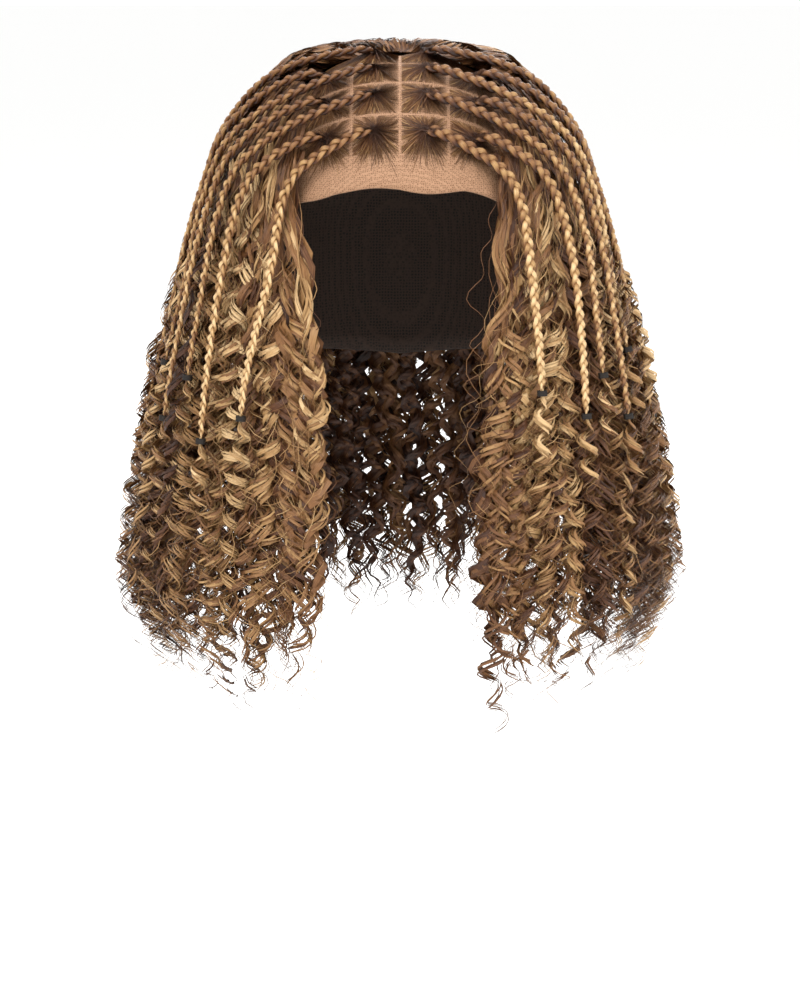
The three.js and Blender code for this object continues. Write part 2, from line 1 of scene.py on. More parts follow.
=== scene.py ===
"""Curly braid wig on a lace front cap: its looks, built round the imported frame.

The wig is held up where a head would carry it. Sizes are in millimetres and angles in degrees
until a mesh is made, which is in metres. A turn is an angle about Z from the face side, -Y,
growing towards +X, and a place runs from 0 at the top of the hair to 1 at its hem.
"""

import logging
import math
from dataclasses import dataclass, field
from enum import Enum

import bmesh
import bpy
import numpy as np
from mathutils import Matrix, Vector


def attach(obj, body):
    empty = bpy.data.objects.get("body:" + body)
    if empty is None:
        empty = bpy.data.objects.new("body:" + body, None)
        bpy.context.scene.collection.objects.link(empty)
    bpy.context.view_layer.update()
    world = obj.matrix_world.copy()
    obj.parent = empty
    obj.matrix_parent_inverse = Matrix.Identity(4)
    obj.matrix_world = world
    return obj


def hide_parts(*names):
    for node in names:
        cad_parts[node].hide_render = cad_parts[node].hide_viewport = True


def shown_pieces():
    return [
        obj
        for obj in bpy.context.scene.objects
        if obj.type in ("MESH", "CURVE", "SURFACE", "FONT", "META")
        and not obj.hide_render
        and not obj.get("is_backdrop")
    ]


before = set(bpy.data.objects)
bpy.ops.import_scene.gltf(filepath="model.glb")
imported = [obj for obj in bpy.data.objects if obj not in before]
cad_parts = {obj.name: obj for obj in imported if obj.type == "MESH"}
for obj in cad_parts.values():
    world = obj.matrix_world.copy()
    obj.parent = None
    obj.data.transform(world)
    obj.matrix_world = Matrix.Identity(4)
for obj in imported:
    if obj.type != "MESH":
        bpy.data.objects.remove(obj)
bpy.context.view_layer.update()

log = logging.getLogger("braid_wig")
Array = np.ndarray

MM = 0.001
TURN = 2 * math.pi
SEED = 20
HALVINGS = 40
GOLDEN_SHARE = 0.618
BODY = "root"


class Side(Enum):
    """Which side of the centre parting a braid grows on."""

    LEFT = -1
    RIGHT = 1


class Profile(Enum):
    """Cross-section that a hair strand is drawn with."""

    RIBBON = "ribbon"
    ROUND = "round"


def mix(low: Array | float, high: Array | float, share: Array | float) -> Array | float:
    """Value at a share of the way from low to high."""
    return low + (high - low) * share


def smooth(value: Array | float) -> Array | float:
    """Smooth step of a value, held between 0 and 1."""
    held = np.clip(value, 0.0, 1.0)
    return held * held * (3 - 2 * held)


def unit(vectors: Array) -> Array:
    """Vectors scaled to a length of one."""
    return vectors / np.maximum(np.linalg.norm(vectors, axis=-1, keepdims=True), 1e-9)


def run_lengths(line: Array) -> Array:
    """Distance along a line at each of its points."""
    steps = np.linalg.norm(np.diff(line, axis=0), axis=1)
    return np.concatenate([[0.0], np.cumsum(steps)])


def along_line(line: Array, lengths: Array, wanted: Array) -> Array:
    """Points of a line, or of any rows kept with it, at the wanted lengths."""
    return np.stack([np.interp(wanted, lengths, line[:, i]) for i in range(line.shape[1])], axis=1)


# Forms that the pieces follow, with the sizes of the CAD source


@dataclass(frozen=True)
class CapForm:
    """Inner form of the cap, a rounded dome that narrows to the nape."""

    side: float = 76.0
    front: float = 92.0
    back: float = 100.0
    crown: float = 105.0
    nape: float = 150.0
    depth: float = 160.0
    roundness: float = 2.4
    lace_wall: float = 1.0
    net_wall: float = 1.5
    seam_gap: float = 0.3
    ripple: float = 1.3
    ripples: int = 11
    rim: tuple[tuple[float, float], ...] = (
        (0, 0.365), (20, 0.375), (40, 0.43), (60, 0.6), (80, 0.7),
        (100, 0.71), (120, 0.86), (150, 0.97), (180, 1.0),
    )

    def point(self, direction: Array, lift: Array | float) -> Array:
        """Point of the form, grown by a lift, along directions from its centre.

        Args:
            direction: Unit vectors from the cap's centre, one in each row.
            lift: How far the form is grown, in mm.

        Returns:
            One point for each direction.
        """
        x, y, z = direction[..., 0], direction[..., 1], direction[..., 2]
        length = np.where(y < 0, self.front, self.back) + lift
        height = np.where(z > 0, self.crown, self.nape) + lift
        power = self.roundness
        total = (
            (np.abs(x) / (self.side + lift)) ** power
            + (np.abs(y) / length) ** power
            + (np.abs(z) / height) ** power
        )
        reach = total ** (-1 / power)
        return direction * reach[..., None] + np.array([0.0, 0.0, -self.crown])

    def front_point(self, x: Array, rise: Array, lift: Array | float) -> Array:
        """Point over the lace at a distance from the centre parting and a rise from the face side.

        Args:
            x: Distance from the centre parting, in mm.
            rise: Angle up from the face side about the ear to ear line, in degrees.
            lift: Height over the cap's inner form, in mm.

        Returns:
            One point for each pair of x and rise.
        """
        x, rise = np.broadcast_arrays(np.asarray(x, float), np.asarray(rise, float))
        ahead, up = np.cos(np.radians(rise)), np.sin(np.radians(rise))
        length = np.where(ahead > 0, self.front, self.back) + lift
        power = self.roundness
        level = (np.abs(ahead) / length) ** power + (np.abs(up) / (self.crown + lift)) ** power
        across = (np.abs(x) / (self.side + lift)) ** power
        reach = ((1 - across) / level) ** (1 / power)
        return np.stack([x, -reach * ahead, reach * up - self.crown], axis=-1)

    def rim_depth(self, turn: Array) -> Array:
        """Depth of the cap's lower edge, with the hand-trimmed ripple of the lace in front."""
        away = np.abs((turn + 180.0) % 360.0 - 180.0)
        turns, shares = zip(*self.rim)
        ripple = self.ripple * np.maximum(np.cos(np.radians(turn)), 0)
        ripple = ripple * np.sin(np.radians(turn) * self.ripples)
        return self.depth * np.interp(away, turns, shares) + ripple

    def polar(self, turn: Array, angle: Array) -> Array:
        """Unit vectors at a turn about Z and an angle down from straight up."""
        level = np.sin(np.radians(angle))
        turn = np.radians(turn)
        return np.stack(
            [level * np.sin(turn), -level * np.cos(turn), np.cos(np.radians(angle))], axis=-1
        )

    def angle_at_depth(self, turn: Array, depth: Array) -> Array:
        """Angle down from straight up at which the form reaches a depth at a turn."""
        low, high = np.zeros_like(turn), np.full_like(turn, 180.0)
        for _ in range(HALVINGS):
            middle = (low + high) / 2
            above = -self.point(self.polar(turn, middle), 0.0)[..., 2] < depth
            low, high = np.where(above, middle, low), np.where(above, high, middle)
        return (low + high) / 2


@dataclass(frozen=True)
class HairForm:
    """Outer form of the loose hair round the cap, and the curtain's inner skin."""

    cap: CapForm = CapForm()
    rise: float = 11.0
    drop: float = 312.0
    bulk_side: float = 69.0
    bulk_front: float = 9.0
    bulk_back: float = 41.0
    thickness: float = 36.0
    clearance: float = 1.4
    samples: int = 1600
    sections: tuple[tuple[float, ...], ...] = (
        # rise, crown, fall, cap, side, front, back
        (1.0, 0.0, 0.0, 0.0, 0.0, 0.0, 0.0),
        (0.45, 0.0, 0.0, 0.24, 0.39, 0.0, 0.63),
        (0.0, 0.05, 0.0, 0.5, 0.35, 0.2, 0.54),
        (0.0, 0.21, 0.0, 0.74, 0.3, 0.39, 0.49),
        (0.0, 0.38, 0.0, 0.87, 0.33, 0.41, 0.49),
        (0.0, 0.57, 0.0, 0.945, 0.35, 0.5, 0.6),
        (0.0, 0.95, 0.0, 1.0, 0.51, 0.55, 0.76),
        (0.0, 1.0, 0.17, 1.0, 0.68, 0.89, 0.93),
        (0.0, 1.0, 0.36, 1.0, 0.81, 1.0, 1.0),
        (0.0, 1.0, 0.56, 1.0, 0.93, 1.0, 1.0),
        (0.0, 1.0, 0.73, 1.0, 1.0, 0.8, 0.9),
        (0.0, 1.0, 0.87, 1.0, 0.84, 0.44, 0.68),
        (0.0, 1.0, 1.0, 0.95, 0.69, 0.1, 0.51),
    )

    def columns(self, place: Array) -> Array:
        """Every column of the section table, on a smooth curve, at places from 0 to 1."""
        table = np.array(self.sections)
        at = np.clip(place, 0.0, 1.0) * (len(table) - 1)
        left = np.minimum(np.floor(at).astype(int), len(table) - 2)
        s = (at - left)[..., None]
        a, b, c, d = (table[np.clip(left + i, 0, len(table) - 1)] for i in (-1, 0, 1, 2))
        bend = (2 * a - 5 * b + 4 * c - d) * s**2 + (3 * b - a - 3 * c + d) * s**3
        return b + 0.5 * ((c - a) * s + bend)

    def height(self, place: Array) -> Array:
        """Height of the form at a place."""
        table = self.columns(np.asarray(place, float))
        fall = table[..., 2] * (self.drop - self.cap.crown)
        return table[..., 0] * self.rise - table[..., 1] * self.cap.crown - fall

    def radius(self, turn: Array, place: Array) -> Array:
        """Distance of the form from the middle line at a turn and a place."""
        table = self.columns(np.asarray(place, float))
        ahead = np.cos(np.radians(turn))
        side = table[..., 3] * self.cap.side + table[..., 4] * self.bulk_side
        front = table[..., 3] * self.cap.front + table[..., 5] * self.bulk_front
        back = table[..., 3] * self.cap.back + table[..., 6] * self.bulk_back
        length = np.maximum(np.where(ahead > 0, front, back), 1e-6)
        power = self.cap.roundness
        across = (np.abs(np.sin(np.radians(turn))) / np.maximum(side, 1e-6)) ** power
        return (across + (np.abs(ahead) / length) ** power) ** (-1 / power)

    def outwards(self, points: Array) -> Array:
        """Direction in which the form faces: away from the cap's centre, and level below it."""
        base = np.zeros_like(points)
        base[..., 2] = np.minimum(points[..., 2], -self.cap.crown)
        return unit(points - base)

    def point(self, turn: Array, place: Array, lift: Array | float = 0.0) -> Array:
        """Points of the form at turns and places, raised by a lift."""
        turn, place, lift = np.broadcast_arrays(turn, place, lift)
        radius = self.radius(turn, place)
        angle = np.radians(turn)
        points = np.stack(
            [radius * np.sin(angle), -radius * np.cos(angle), self.height(place)], axis=-1
        )
        return points + self.outwards(points) * lift[..., None]

    def inner(self, outer: Array) -> Array:
        """Points of the curtain's inner skin behind points of the form."""
        lift = self.cap.net_wall + self.clearance
        out = self.outwards(outer)
        seat = self.cap.point(out, lift)
        inwards = outer - out * self.thickness
        near = np.hypot(seat[..., 0], seat[..., 1])
        deep = np.hypot(inwards[..., 0], inwards[..., 1]) > near
        level = np.stack([seat[..., 0], seat[..., 1], outer[..., 2]], axis=-1)
        hanging = np.where(deep[..., None], inwards, level)
        return np.where((outer[..., 2] > -self.cap.crown)[..., None], seat, hanging)

    def place_at_depth(self, depth: Array | float) -> Array:
        """Place at which the form reaches a depth below the origin."""
        places = np.linspace(0, 1, self.samples)
        return np.interp(depth, -self.height(places), places)

    def place_at_radius(self, turn: Array, radius: Array | float) -> Array:
        """Place at which the upper form reaches a distance from the middle line."""
        turn, radius = np.broadcast_arrays(np.asarray(turn, float), np.asarray(radius, float))
        low, high = np.zeros_like(turn), np.ones_like(turn)
        for _ in range(HALVINGS):
            middle = (low + high) / 2
            inside = self.radius(turn, middle) < radius
            low, high = np.where(inside, middle, low), np.where(inside, high, middle)
        return (low + high) / 2


# Node trees


def add_node(tree: bpy.types.NodeTree, kind: str, settings: dict, links: dict) -> bpy.types.Node:
    """Adds a node to a tree with its settings and its inputs.

    Args:
        tree: Material or geometry tree that the node goes into.
        kind: Node type, such as ShaderNodeMath.
        settings: Values for the node's own properties.
        links: For each input, by name or number, a socket to link or a plain value.

    Returns:
        The new node.
    """
    node = tree.nodes.new(kind)
    for name, value in settings.items():
        setattr(node, name, value)
    for key, value in links.items():
        socket = node.inputs[key]
        if isinstance(value, bpy.types.NodeSocket):
            tree.links.new(value, socket)
        else:
            socket.default_value = value
    return node


def linear(code: str, alpha: float = 1.0) -> tuple[float, float, float, float]:
    """Linear colour of an sRGB hex code such as #6d4b33."""
    shares = [int(code[i : i + 2], 16) / 255 for i in (1, 3, 5)]
    r, g, b = (s / 12.92 if s <= 0.04045 else ((s + 0.055) / 1.055) ** 2.4 for s in shares)
    return (r, g, b, alpha)


def fill_ramp(ramp: bpy.types.Node, stops: tuple[tuple[float, str], ...]) -> None:
    """Gives a colour ramp its stops, each a place and an sRGB hex colour."""
    elements = ramp.color_ramp.elements
    while len(elements) < len(stops):
        elements.new(0.5)
    for element, (place, code) in zip(elements, stops):
        element.position = place
        element.color = linear(code)


def new_material(name: str) -> tuple[bpy.types.Material, bpy.types.NodeTree]:
    """Makes a material and gives it with its empty node tree."""
    made = bpy.data.materials.new(name)
    made.use_nodes = True
    made.node_tree.nodes.clear()
    return made, made.node_tree


@dataclass(frozen=True)
class HairFinish:
    """Human hair, bleached in streaks and steam curled: a soft gloss with fine lines along it.

    A real hair is 0.07 mm thick, too fine to show, so about nine lines are drawn on each ribbon.
    """

    name: str = "human_hair_brown_honey_blonde"
    stops: tuple[tuple[float, str], ...] = (
        (0.0, "#231008"), (0.25, "#4d2d18"), (0.5, "#785230"), (0.75, "#a37f52"), (1.0, "#cdad80"),
    )
    roughness: float = 0.42
    ior: float = 1.45
    gloss: float = 0.35
    lines_across: float = 9.0
    lines_each_mm: float = 0.09
    line_detail: float = 2.0
    streak: float = 0.5
    line_relief: float = 1.6
    relief_mm: float = 0.24
    relief_strength: float = 0.7

    def material(self) -> bpy.types.Material:
        """Builds the material, which reads the tone attribute and the strand's own UV map."""
        made, tree = new_material(self.name)
        uv = add_node(tree, "ShaderNodeUVMap", {"uv_map": "UVMap"}, {})
        tone = add_node(tree, "ShaderNodeAttribute", {"attribute_name": "tone"}, {})
        # Fibres run along the strand, so the noise is squeezed across it and drawn out along it
        lines = add_node(
            tree, "ShaderNodeMapping", {},
            {"Vector": uv.outputs[0], "Scale": (self.lines_across, self.lines_each_mm, 1.0)},
        )
        fibre = add_node(
            tree, "ShaderNodeTexNoise", {},
            {"Vector": lines.outputs[0], "Scale": 1.0, "Detail": self.line_detail},
        )
        spread = add_node(
            tree, "ShaderNodeMath", {"operation": "MULTIPLY_ADD"},
            {0: fibre.outputs[0], 1: self.streak, 2: -self.streak / 2},
        )
        shade = add_node(
            tree, "ShaderNodeMath", {"operation": "ADD"}, {0: tone.outputs["Fac"], 1: spread.outputs[0]}
        )
        colour = add_node(tree, "ShaderNodeValToRGB", {}, {"Fac": shade.outputs[0]})
        fill_ramp(colour, self.stops)
        # The ribbon is flat, so its section is rounded by a bump that is highest on its middle line
        split = add_node(tree, "ShaderNodeSeparateXYZ", {}, {0: uv.outputs[0]})
        centred = add_node(
            tree, "ShaderNodeMath", {"operation": "MULTIPLY_ADD"}, {0: split.outputs[0], 1: 2.0, 2: -1.0}
        )
        crown = add_node(
            tree, "ShaderNodeMath", {"operation": "MULTIPLY"}, {0: centred.outputs[0], 1: centred.outputs[0]}
        )
        height = add_node(
            tree, "ShaderNodeMath", {"operation": "MULTIPLY"},
            {0: fibre.outputs[0], 1: self.line_relief},
        )
        rounded = add_node(
            tree, "ShaderNodeMath", {"operation": "SUBTRACT"}, {0: height.outputs[0], 1: crown.outputs[0]}
        )
        bump = add_node(
            tree, "ShaderNodeBump", {},
            {
                "Height": rounded.outputs[0], "Distance": self.relief_mm * MM,
                "Strength": self.relief_strength,
            },
        )
        shader = add_node(
            tree, "ShaderNodeBsdfPrincipled", {},
            {
                "Base Color": colour.outputs[0], "Roughness": self.roughness, "IOR": self.ior,
                "Specular IOR Level": self.gloss, "Normal": bump.outputs[0],
            },
        )
        add_node(tree, "ShaderNodeOutputMaterial", {}, {"Surface": shader.outputs[0]})
        return made


@dataclass(frozen=True)
class LaceFinish:
    """Tan knotting lace: a thin hexagonal net of matt polyester thread, open between threads.

    A real hole is 0.5 mm, drawn here as large as it needs to show.
    """

    name: str = "knotting_lace_tan_polyester"
    thread: str = "#9b775a"
    shade: str = "#80593d"
    cell_mm: float = 0.9
    unevenness: float = 0.6
    hole_from: float = 0.17
    shade_from: float = 0.3
    open_share: float = 0.3
    relief_mm: float = 0.15
    roughness: float = 0.75

    def material(self) -> bpy.types.Material:
        """Builds the net from the edges of a small cell pattern on Object coordinates."""
        made, tree = new_material(self.name)
        where = add_node(tree, "ShaderNodeTexCoord", {}, {})
        cells = add_node(
            tree, "ShaderNodeTexVoronoi", {"feature": "DISTANCE_TO_EDGE"},
            {
                "Vector": where.outputs["Object"], "Scale": 1.0 / (self.cell_mm * MM),
                "Randomness": self.unevenness,
            },
        )
        hole = add_node(
            tree, "ShaderNodeMath", {"operation": "GREATER_THAN"}, {0: cells.outputs[0], 1: self.hole_from}
        )
        clear = add_node(
            tree, "ShaderNodeMath", {"operation": "MULTIPLY_ADD"},
            {0: hole.outputs[0], 1: -self.open_share, 2: 1.0},
        )
        colour = add_node(tree, "ShaderNodeValToRGB", {}, {"Fac": cells.outputs[0]})
        fill_ramp(colour, ((0.0, self.thread), (self.shade_from, self.shade)))
        bump = add_node(
            tree, "ShaderNodeBump", {"invert": True},
            {"Height": cells.outputs[0], "Distance": self.relief_mm * MM, "Strength": 0.5},
        )
        shader = add_node(
            tree, "ShaderNodeBsdfPrincipled", {},
            {
                "Base Color": colour.outputs[0], "Roughness": self.roughness, "IOR": 1.5,
                "Alpha": clear.outputs[0], "Normal": bump.outputs[0],
            },
        )
        add_node(tree, "ShaderNodeOutputMaterial", {}, {"Surface": shader.outputs[0]})
        return made


@dataclass(frozen=True)
class NetFinish:
    """Stretch cap net: dark brown knitted nylon, matt, with rows of fine ribs."""

    name: str = "stretch_net_dark_nylon"
    thread: str = "#3a2a20"
    gap_shade: str = "#140d09"
    rib_mm: float = 1.6
    unevenness: float = 0.4
    relief_mm: float = 0.4
    roughness: float = 0.85

    def material(self) -> bpy.types.Material:
        """Builds the ribbed net on Object coordinates."""
        made, tree = new_material(self.name)
        where = add_node(tree, "ShaderNodeTexCoord", {}, {})
        cells = add_node(
            tree, "ShaderNodeTexVoronoi", {"feature": "DISTANCE_TO_EDGE"},
            {
                "Vector": where.outputs["Object"], "Scale": 1.0 / (self.rib_mm * MM),
                "Randomness": self.unevenness,
            },
        )
        colour = add_node(tree, "ShaderNodeValToRGB", {}, {"Fac": cells.outputs[0]})
        # The openings between threads are painted near black, a painted shade seen through the net's gaps
        fill_ramp(colour, ((0.05, self.thread), (0.35, self.gap_shade)))
        bump = add_node(
            tree, "ShaderNodeBump", {"invert": True},
            {"Height": cells.outputs[0], "Distance": self.relief_mm * MM, "Strength": 0.8},
        )
        shader = add_node(
            tree, "ShaderNodeBsdfPrincipled", {},
            {
                "Base Color": colour.outputs[0], "Roughness": self.roughness,
                "Normal": bump.outputs[0],
            },
        )
        add_node(tree, "ShaderNodeOutputMaterial", {}, {"Surface": shader.outputs[0]})
        return made


@dataclass(frozen=True)
class ElasticFinish:
    """Small latex band, dark grey: moulded, slightly dusty and soft in its gloss."""

    name: str = "latex_band_dark_grey"
    rubber: str = "#15100c"
    dust: str = "#261d16"
    specks_each_m: float = 900.0
    roughness: float = 0.6
    gloss: float = 0.25

    def material(self) -> bpy.types.Material:
        """Builds the rubber with a little dust on it."""
        made, tree = new_material(self.name)
        where = add_node(tree, "ShaderNodeTexCoord", {}, {})
        dust = add_node(
            tree, "ShaderNodeTexNoise", {},
            {"Vector": where.outputs["Object"], "Scale": self.specks_each_m},
        )
        colour = add_node(tree, "ShaderNodeValToRGB", {}, {"Fac": dust.outputs[0]})
        fill_ramp(colour, ((0.45, self.rubber), (0.75, self.dust)))
        shader = add_node(
            tree, "ShaderNodeBsdfPrincipled", {},
            {
                "Base Color": colour.outputs[0], "Roughness": self.roughness,
                "Specular IOR Level": self.gloss,
            },
        )
        add_node(tree, "ShaderNodeOutputMaterial", {}, {"Surface": shader.outputs[0]})
        return made


@dataclass(frozen=True)
class FloorFinish:
    """Pale matt studio floor, painted one plain colour."""

    name: str = "studio_floor_pale_paint"
    pale: str = "#f8f8f7"

    def material(self) -> bpy.types.Material:
        """Builds the painted floor."""
        made, tree = new_material(self.name)
        shader = add_node(
            tree, "ShaderNodeBsdfPrincipled", {}, {"Base Color": linear(self.pale), "Roughness": 0.9}
        )
        add_node(tree, "ShaderNodeOutputMaterial", {}, {"Surface": shader.outputs[0]})
        return made


# Hair as guide lines, turned into ribbons by geometry nodes


@dataclass
class Strands:
    """Guide lines of one piece of hair, each point with what its ribbon needs there."""

    points: list[Array] = field(default_factory=list)
    facts: list[Array] = field(default_factory=list)
    outs: list[Array] = field(default_factory=list)

    FACTS = ("phase", "coil", "roundness", "tone", "girth")

    def add(self, line: Array, out: Array, **facts: Array | float) -> None:
        """Adds one guide line.

        Args:
            line: Its points, in mm.
            out: The direction that its hair faces at each point.
            facts: For each of FACTS, a value or one for each point.
        """
        rows = [np.broadcast_to(np.asarray(facts[name], float), len(line)) for name in self.FACTS]
        self.points.append(line)
        self.outs.append(out)
        self.facts.append(np.stack(rows, axis=1))

    def guide(self, name: str) -> bpy.types.Object:
        """Builds the guide lines as one object of loose edges with attributes, in metres."""
        counts = [len(line) for line in self.points]
        points = np.concatenate(self.points) * MM
        facts = np.concatenate(self.facts)
        starts = np.cumsum([0, *counts[:-1]])
        edges = np.concatenate(
            [np.stack([np.arange(c - 1), np.arange(1, c)], axis=1) + s for c, s in zip(counts, starts)]
        )
        mesh = bpy.data.meshes.new(name)
        mesh.vertices.add(len(points))
        mesh.vertices.foreach_set("co", points.astype(np.float32).ravel())
        mesh.edges.add(len(edges))
        mesh.edges.foreach_set("vertices", edges.astype(np.int32).ravel())
        out = mesh.attributes.new("out", "FLOAT_VECTOR", "POINT")
        out.data.foreach_set("vector", np.concatenate(self.outs).astype(np.float32).ravel())
        for i, fact in enumerate(self.FACTS):
            made = mesh.attributes.new(fact, "FLOAT", "POINT")
            made.data.foreach_set("value", facts[:, i].astype(np.float32))
        mesh.update()
        made_object = bpy.data.objects.new(name, mesh)
        bpy.context.scene.collection.objects.link(made_object)
        return made_object


@dataclass
class StrandTree:
    """Geometry node tree that coils each guide line and draws it with a profile."""

    profile: Profile
    name: str
    tree: bpy.types.NodeTree | None = None
    sides: int = 7
    spread: float = 0.25

    # Attributes that the tree reads, with their types
    READ = (
        ("out", "FLOAT_VECTOR"), ("phase", "FLOAT"), ("coil", "FLOAT"), ("roundness", "FLOAT"),
        ("facing", "FLOAT_VECTOR"), ("girth", "FLOAT"), ("across", "FLOAT"), ("along", "FLOAT"),
    )
    # Each step of the coil: its name, node and operation, and its inputs by name or value
    STEPS = (
        ("cross", "ShaderNodeVectorMath", "CROSS_PRODUCT", {0: "tangent", 1: "out"}),
        ("aside", "ShaderNodeVectorMath", "NORMALIZE", {0: "cross"}),
        ("cosine", "ShaderNodeMath", "COSINE", {0: "phase"}),
        ("sideways", "ShaderNodeVectorMath", "SCALE", {0: "aside", "Scale": "cosine"}),
        ("sine", "ShaderNodeMath", "SINE", {0: "phase"}),
        ("swing", "ShaderNodeMath", "MULTIPLY", {0: "sine", 1: "roundness"}),
        ("outwards", "ShaderNodeVectorMath", "SCALE", {0: "out", "Scale": "swing"}),
        ("radial", "ShaderNodeVectorMath", "ADD", {0: "sideways", 1: "outwards"}),
        ("offset", "ShaderNodeVectorMath", "SCALE", {0: "radial", "Scale": "coil"}),
        ("tilted", "ShaderNodeVectorMath", "SCALE", {0: "radial", "Scale": "Coil Tilt"}),
        ("faces", "ShaderNodeVectorMath", "ADD", {0: "tilted", 1: "out"}),
        ("faced", "ShaderNodeVectorMath", "NORMALIZE", {0: "faces"}),
        ("narrow", "ShaderNodeMath", "SUBTRACT", {0: 1.0, 1: "Width Spread"}),
        ("wide", "ShaderNodeMath", "ADD", {0: 1.0, 1: "Width Spread"}),
        ("run", "ShaderNodeMath", "MULTIPLY", {0: "along", 1: 1.0 / MM}),
    )

    def build(self) -> bpy.types.NodeTree:
        """Builds the tree once, with named inputs for its sizes and a fixed seed.

        Returns:
            The tree, which ends in Realize Instances and Set Material.
        """
        tree = bpy.data.node_groups.new(self.name, "GeometryNodeTree")
        sockets = (
            ("Guides", "NodeSocketGeometry", None), ("Material", "NodeSocketMaterial", None),
            ("Strand Width", "NodeSocketFloat", 0.002), ("Strand Thickness", "NodeSocketFloat", 0.002),
            ("Width Spread", "NodeSocketFloat", 0.0), ("Seed", "NodeSocketInt", SEED),
            ("Coil Tilt", "NodeSocketFloat", 0.55),
        )
        for name, kind, value in sockets:
            socket = tree.interface.new_socket(name, in_out="INPUT", socket_type=kind)
            if value is not None:
                socket.default_value = value
        tree.interface.new_socket("Hair", in_out="OUTPUT", socket_type="NodeSocketGeometry")
        given = add_node(tree, "NodeGroupInput", {}, {}).outputs

        flow = {name: given[name] for name in ("Coil Tilt", "Width Spread")}
        flow["tangent"] = add_node(tree, "GeometryNodeInputTangent", {}, {}).outputs[0]
        for name, kind in self.READ:
            flow[name] = add_node(
                tree, "GeometryNodeInputNamedAttribute", {"data_type": kind}, {"Name": name}
            ).outputs["Attribute"]
        for name, kind, operation, inputs in self.STEPS:
            links = {key: flow.get(value, value) for key, value in inputs.items()}
            flow[name] = add_node(tree, kind, {"operation": operation}, links).outputs[0]
        curves = add_node(tree, "GeometryNodeMeshToCurve", {}, {0: given["Guides"]}).outputs[0]
        kept = add_node(
            tree, "GeometryNodeStoreNamedAttribute", {"data_type": "FLOAT_VECTOR", "domain": "POINT"},
            {0: curves, "Name": "facing", "Value": flow["faced"]},
        ).outputs[0]
        moved = add_node(tree, "GeometryNodeSetPosition", {}, {0: kept, "Offset": flow["offset"]}).outputs[0]
        turned = add_node(
            tree, "GeometryNodeSetCurveNormal", {"mode": "FREE"},
            {0: moved, "Normal": flow["facing"]},
        ).outputs[0]
        length = add_node(tree, "GeometryNodeSplineParameter", {}, {}).outputs["Length"]
        measured = add_node(
            tree, "GeometryNodeStoreNamedAttribute", {"data_type": "FLOAT", "domain": "POINT"},
            {0: turned, "Name": "along", "Value": length},
        ).outputs[0]
        spread = add_node(
            tree, "FunctionNodeRandomValue", {"data_type": "FLOAT"},
            {2: flow["narrow"], 3: flow["wide"], "Seed": given["Seed"]},
        ).outputs[1]
        each = add_node(
            tree, "GeometryNodeFieldOnDomain", {"data_type": "FLOAT", "domain": "CURVE"}, {0: spread}
        ).outputs[0]
        girth = add_node(
            tree, "ShaderNodeMath", {"operation": "MULTIPLY"}, {0: flow["girth"], 1: each}
        ).outputs[0]
        section = self.section(tree, given)
        drawn = add_node(
            tree, "GeometryNodeCurveToMesh", {}, {0: measured, 1: section, "Scale": girth}
        ).outputs[0]
        uv = add_node(
            tree, "ShaderNodeCombineXYZ", {}, {0: flow["across"], 1: flow["run"]}
        ).outputs[0]
        mapped = add_node(
            tree, "GeometryNodeStoreNamedAttribute", {"data_type": "FLOAT2", "domain": "CORNER"},
            {0: drawn, "Name": "UVMap", "Value": uv},
        ).outputs[0]
        soft = add_node(tree, "GeometryNodeSetShadeSmooth", {}, {0: mapped}).outputs[0]
        real = add_node(tree, "GeometryNodeRealizeInstances", {}, {0: soft}).outputs[0]
        dressed = add_node(
            tree, "GeometryNodeSetMaterial", {}, {0: real, "Material": given["Material"]}
        ).outputs[0]
        add_node(tree, "NodeGroupOutput", {}, {0: dressed})
        self.tree = tree
        return tree

    def section(self, tree: bpy.types.NodeTree, given: bpy.types.NodeOutputs) -> bpy.types.NodeSocket:
        """Adds the profile curve, with its place across stored for the UV map.

        Args:
            tree: Tree that the profile goes into.
            given: The tree's inputs.

        Returns:
            Socket of the profile curve.
        """
        factor = add_node(tree, "GeometryNodeSplineParameter", {}, {}).outputs["Factor"]
        if self.profile is Profile.RIBBON:
            low = add_node(tree, "ShaderNodeMath", {"operation": "MULTIPLY"},
                           {0: given["Strand Width"], 1: -0.5}).outputs[0]
            high = add_node(tree, "ShaderNodeMath", {"operation": "MULTIPLY"},
                            {0: given["Strand Width"], 1: 0.5}).outputs[0]
            start = add_node(tree, "ShaderNodeCombineXYZ", {}, {1: high}).outputs[0]
            end = add_node(tree, "ShaderNodeCombineXYZ", {}, {1: low}).outputs[0]
            curve = add_node(tree, "GeometryNodeCurvePrimitiveLine", {}, {0: start, 1: end}).outputs[0]
        else:
            ring = add_node(
                tree, "GeometryNodeCurvePrimitiveCircle", {}, {"Resolution": self.sides, "Radius": 0.5}
            ).outputs[0]
            scale = add_node(
                tree, "ShaderNodeCombineXYZ", {},
                {0: given["Strand Thickness"], 1: given["Strand Width"], 2: 1.0},
            ).outputs[0]
            curve = add_node(
                tree, "GeometryNodeTransform", {}, {"Geometry": ring, "Scale": scale}
            ).outputs[0]
        return add_node(
            tree, "GeometryNodeStoreNamedAttribute", {"data_type": "FLOAT", "domain": "POINT"},
            {0: curve, "Name": "across", "Value": factor},
        ).outputs[0]

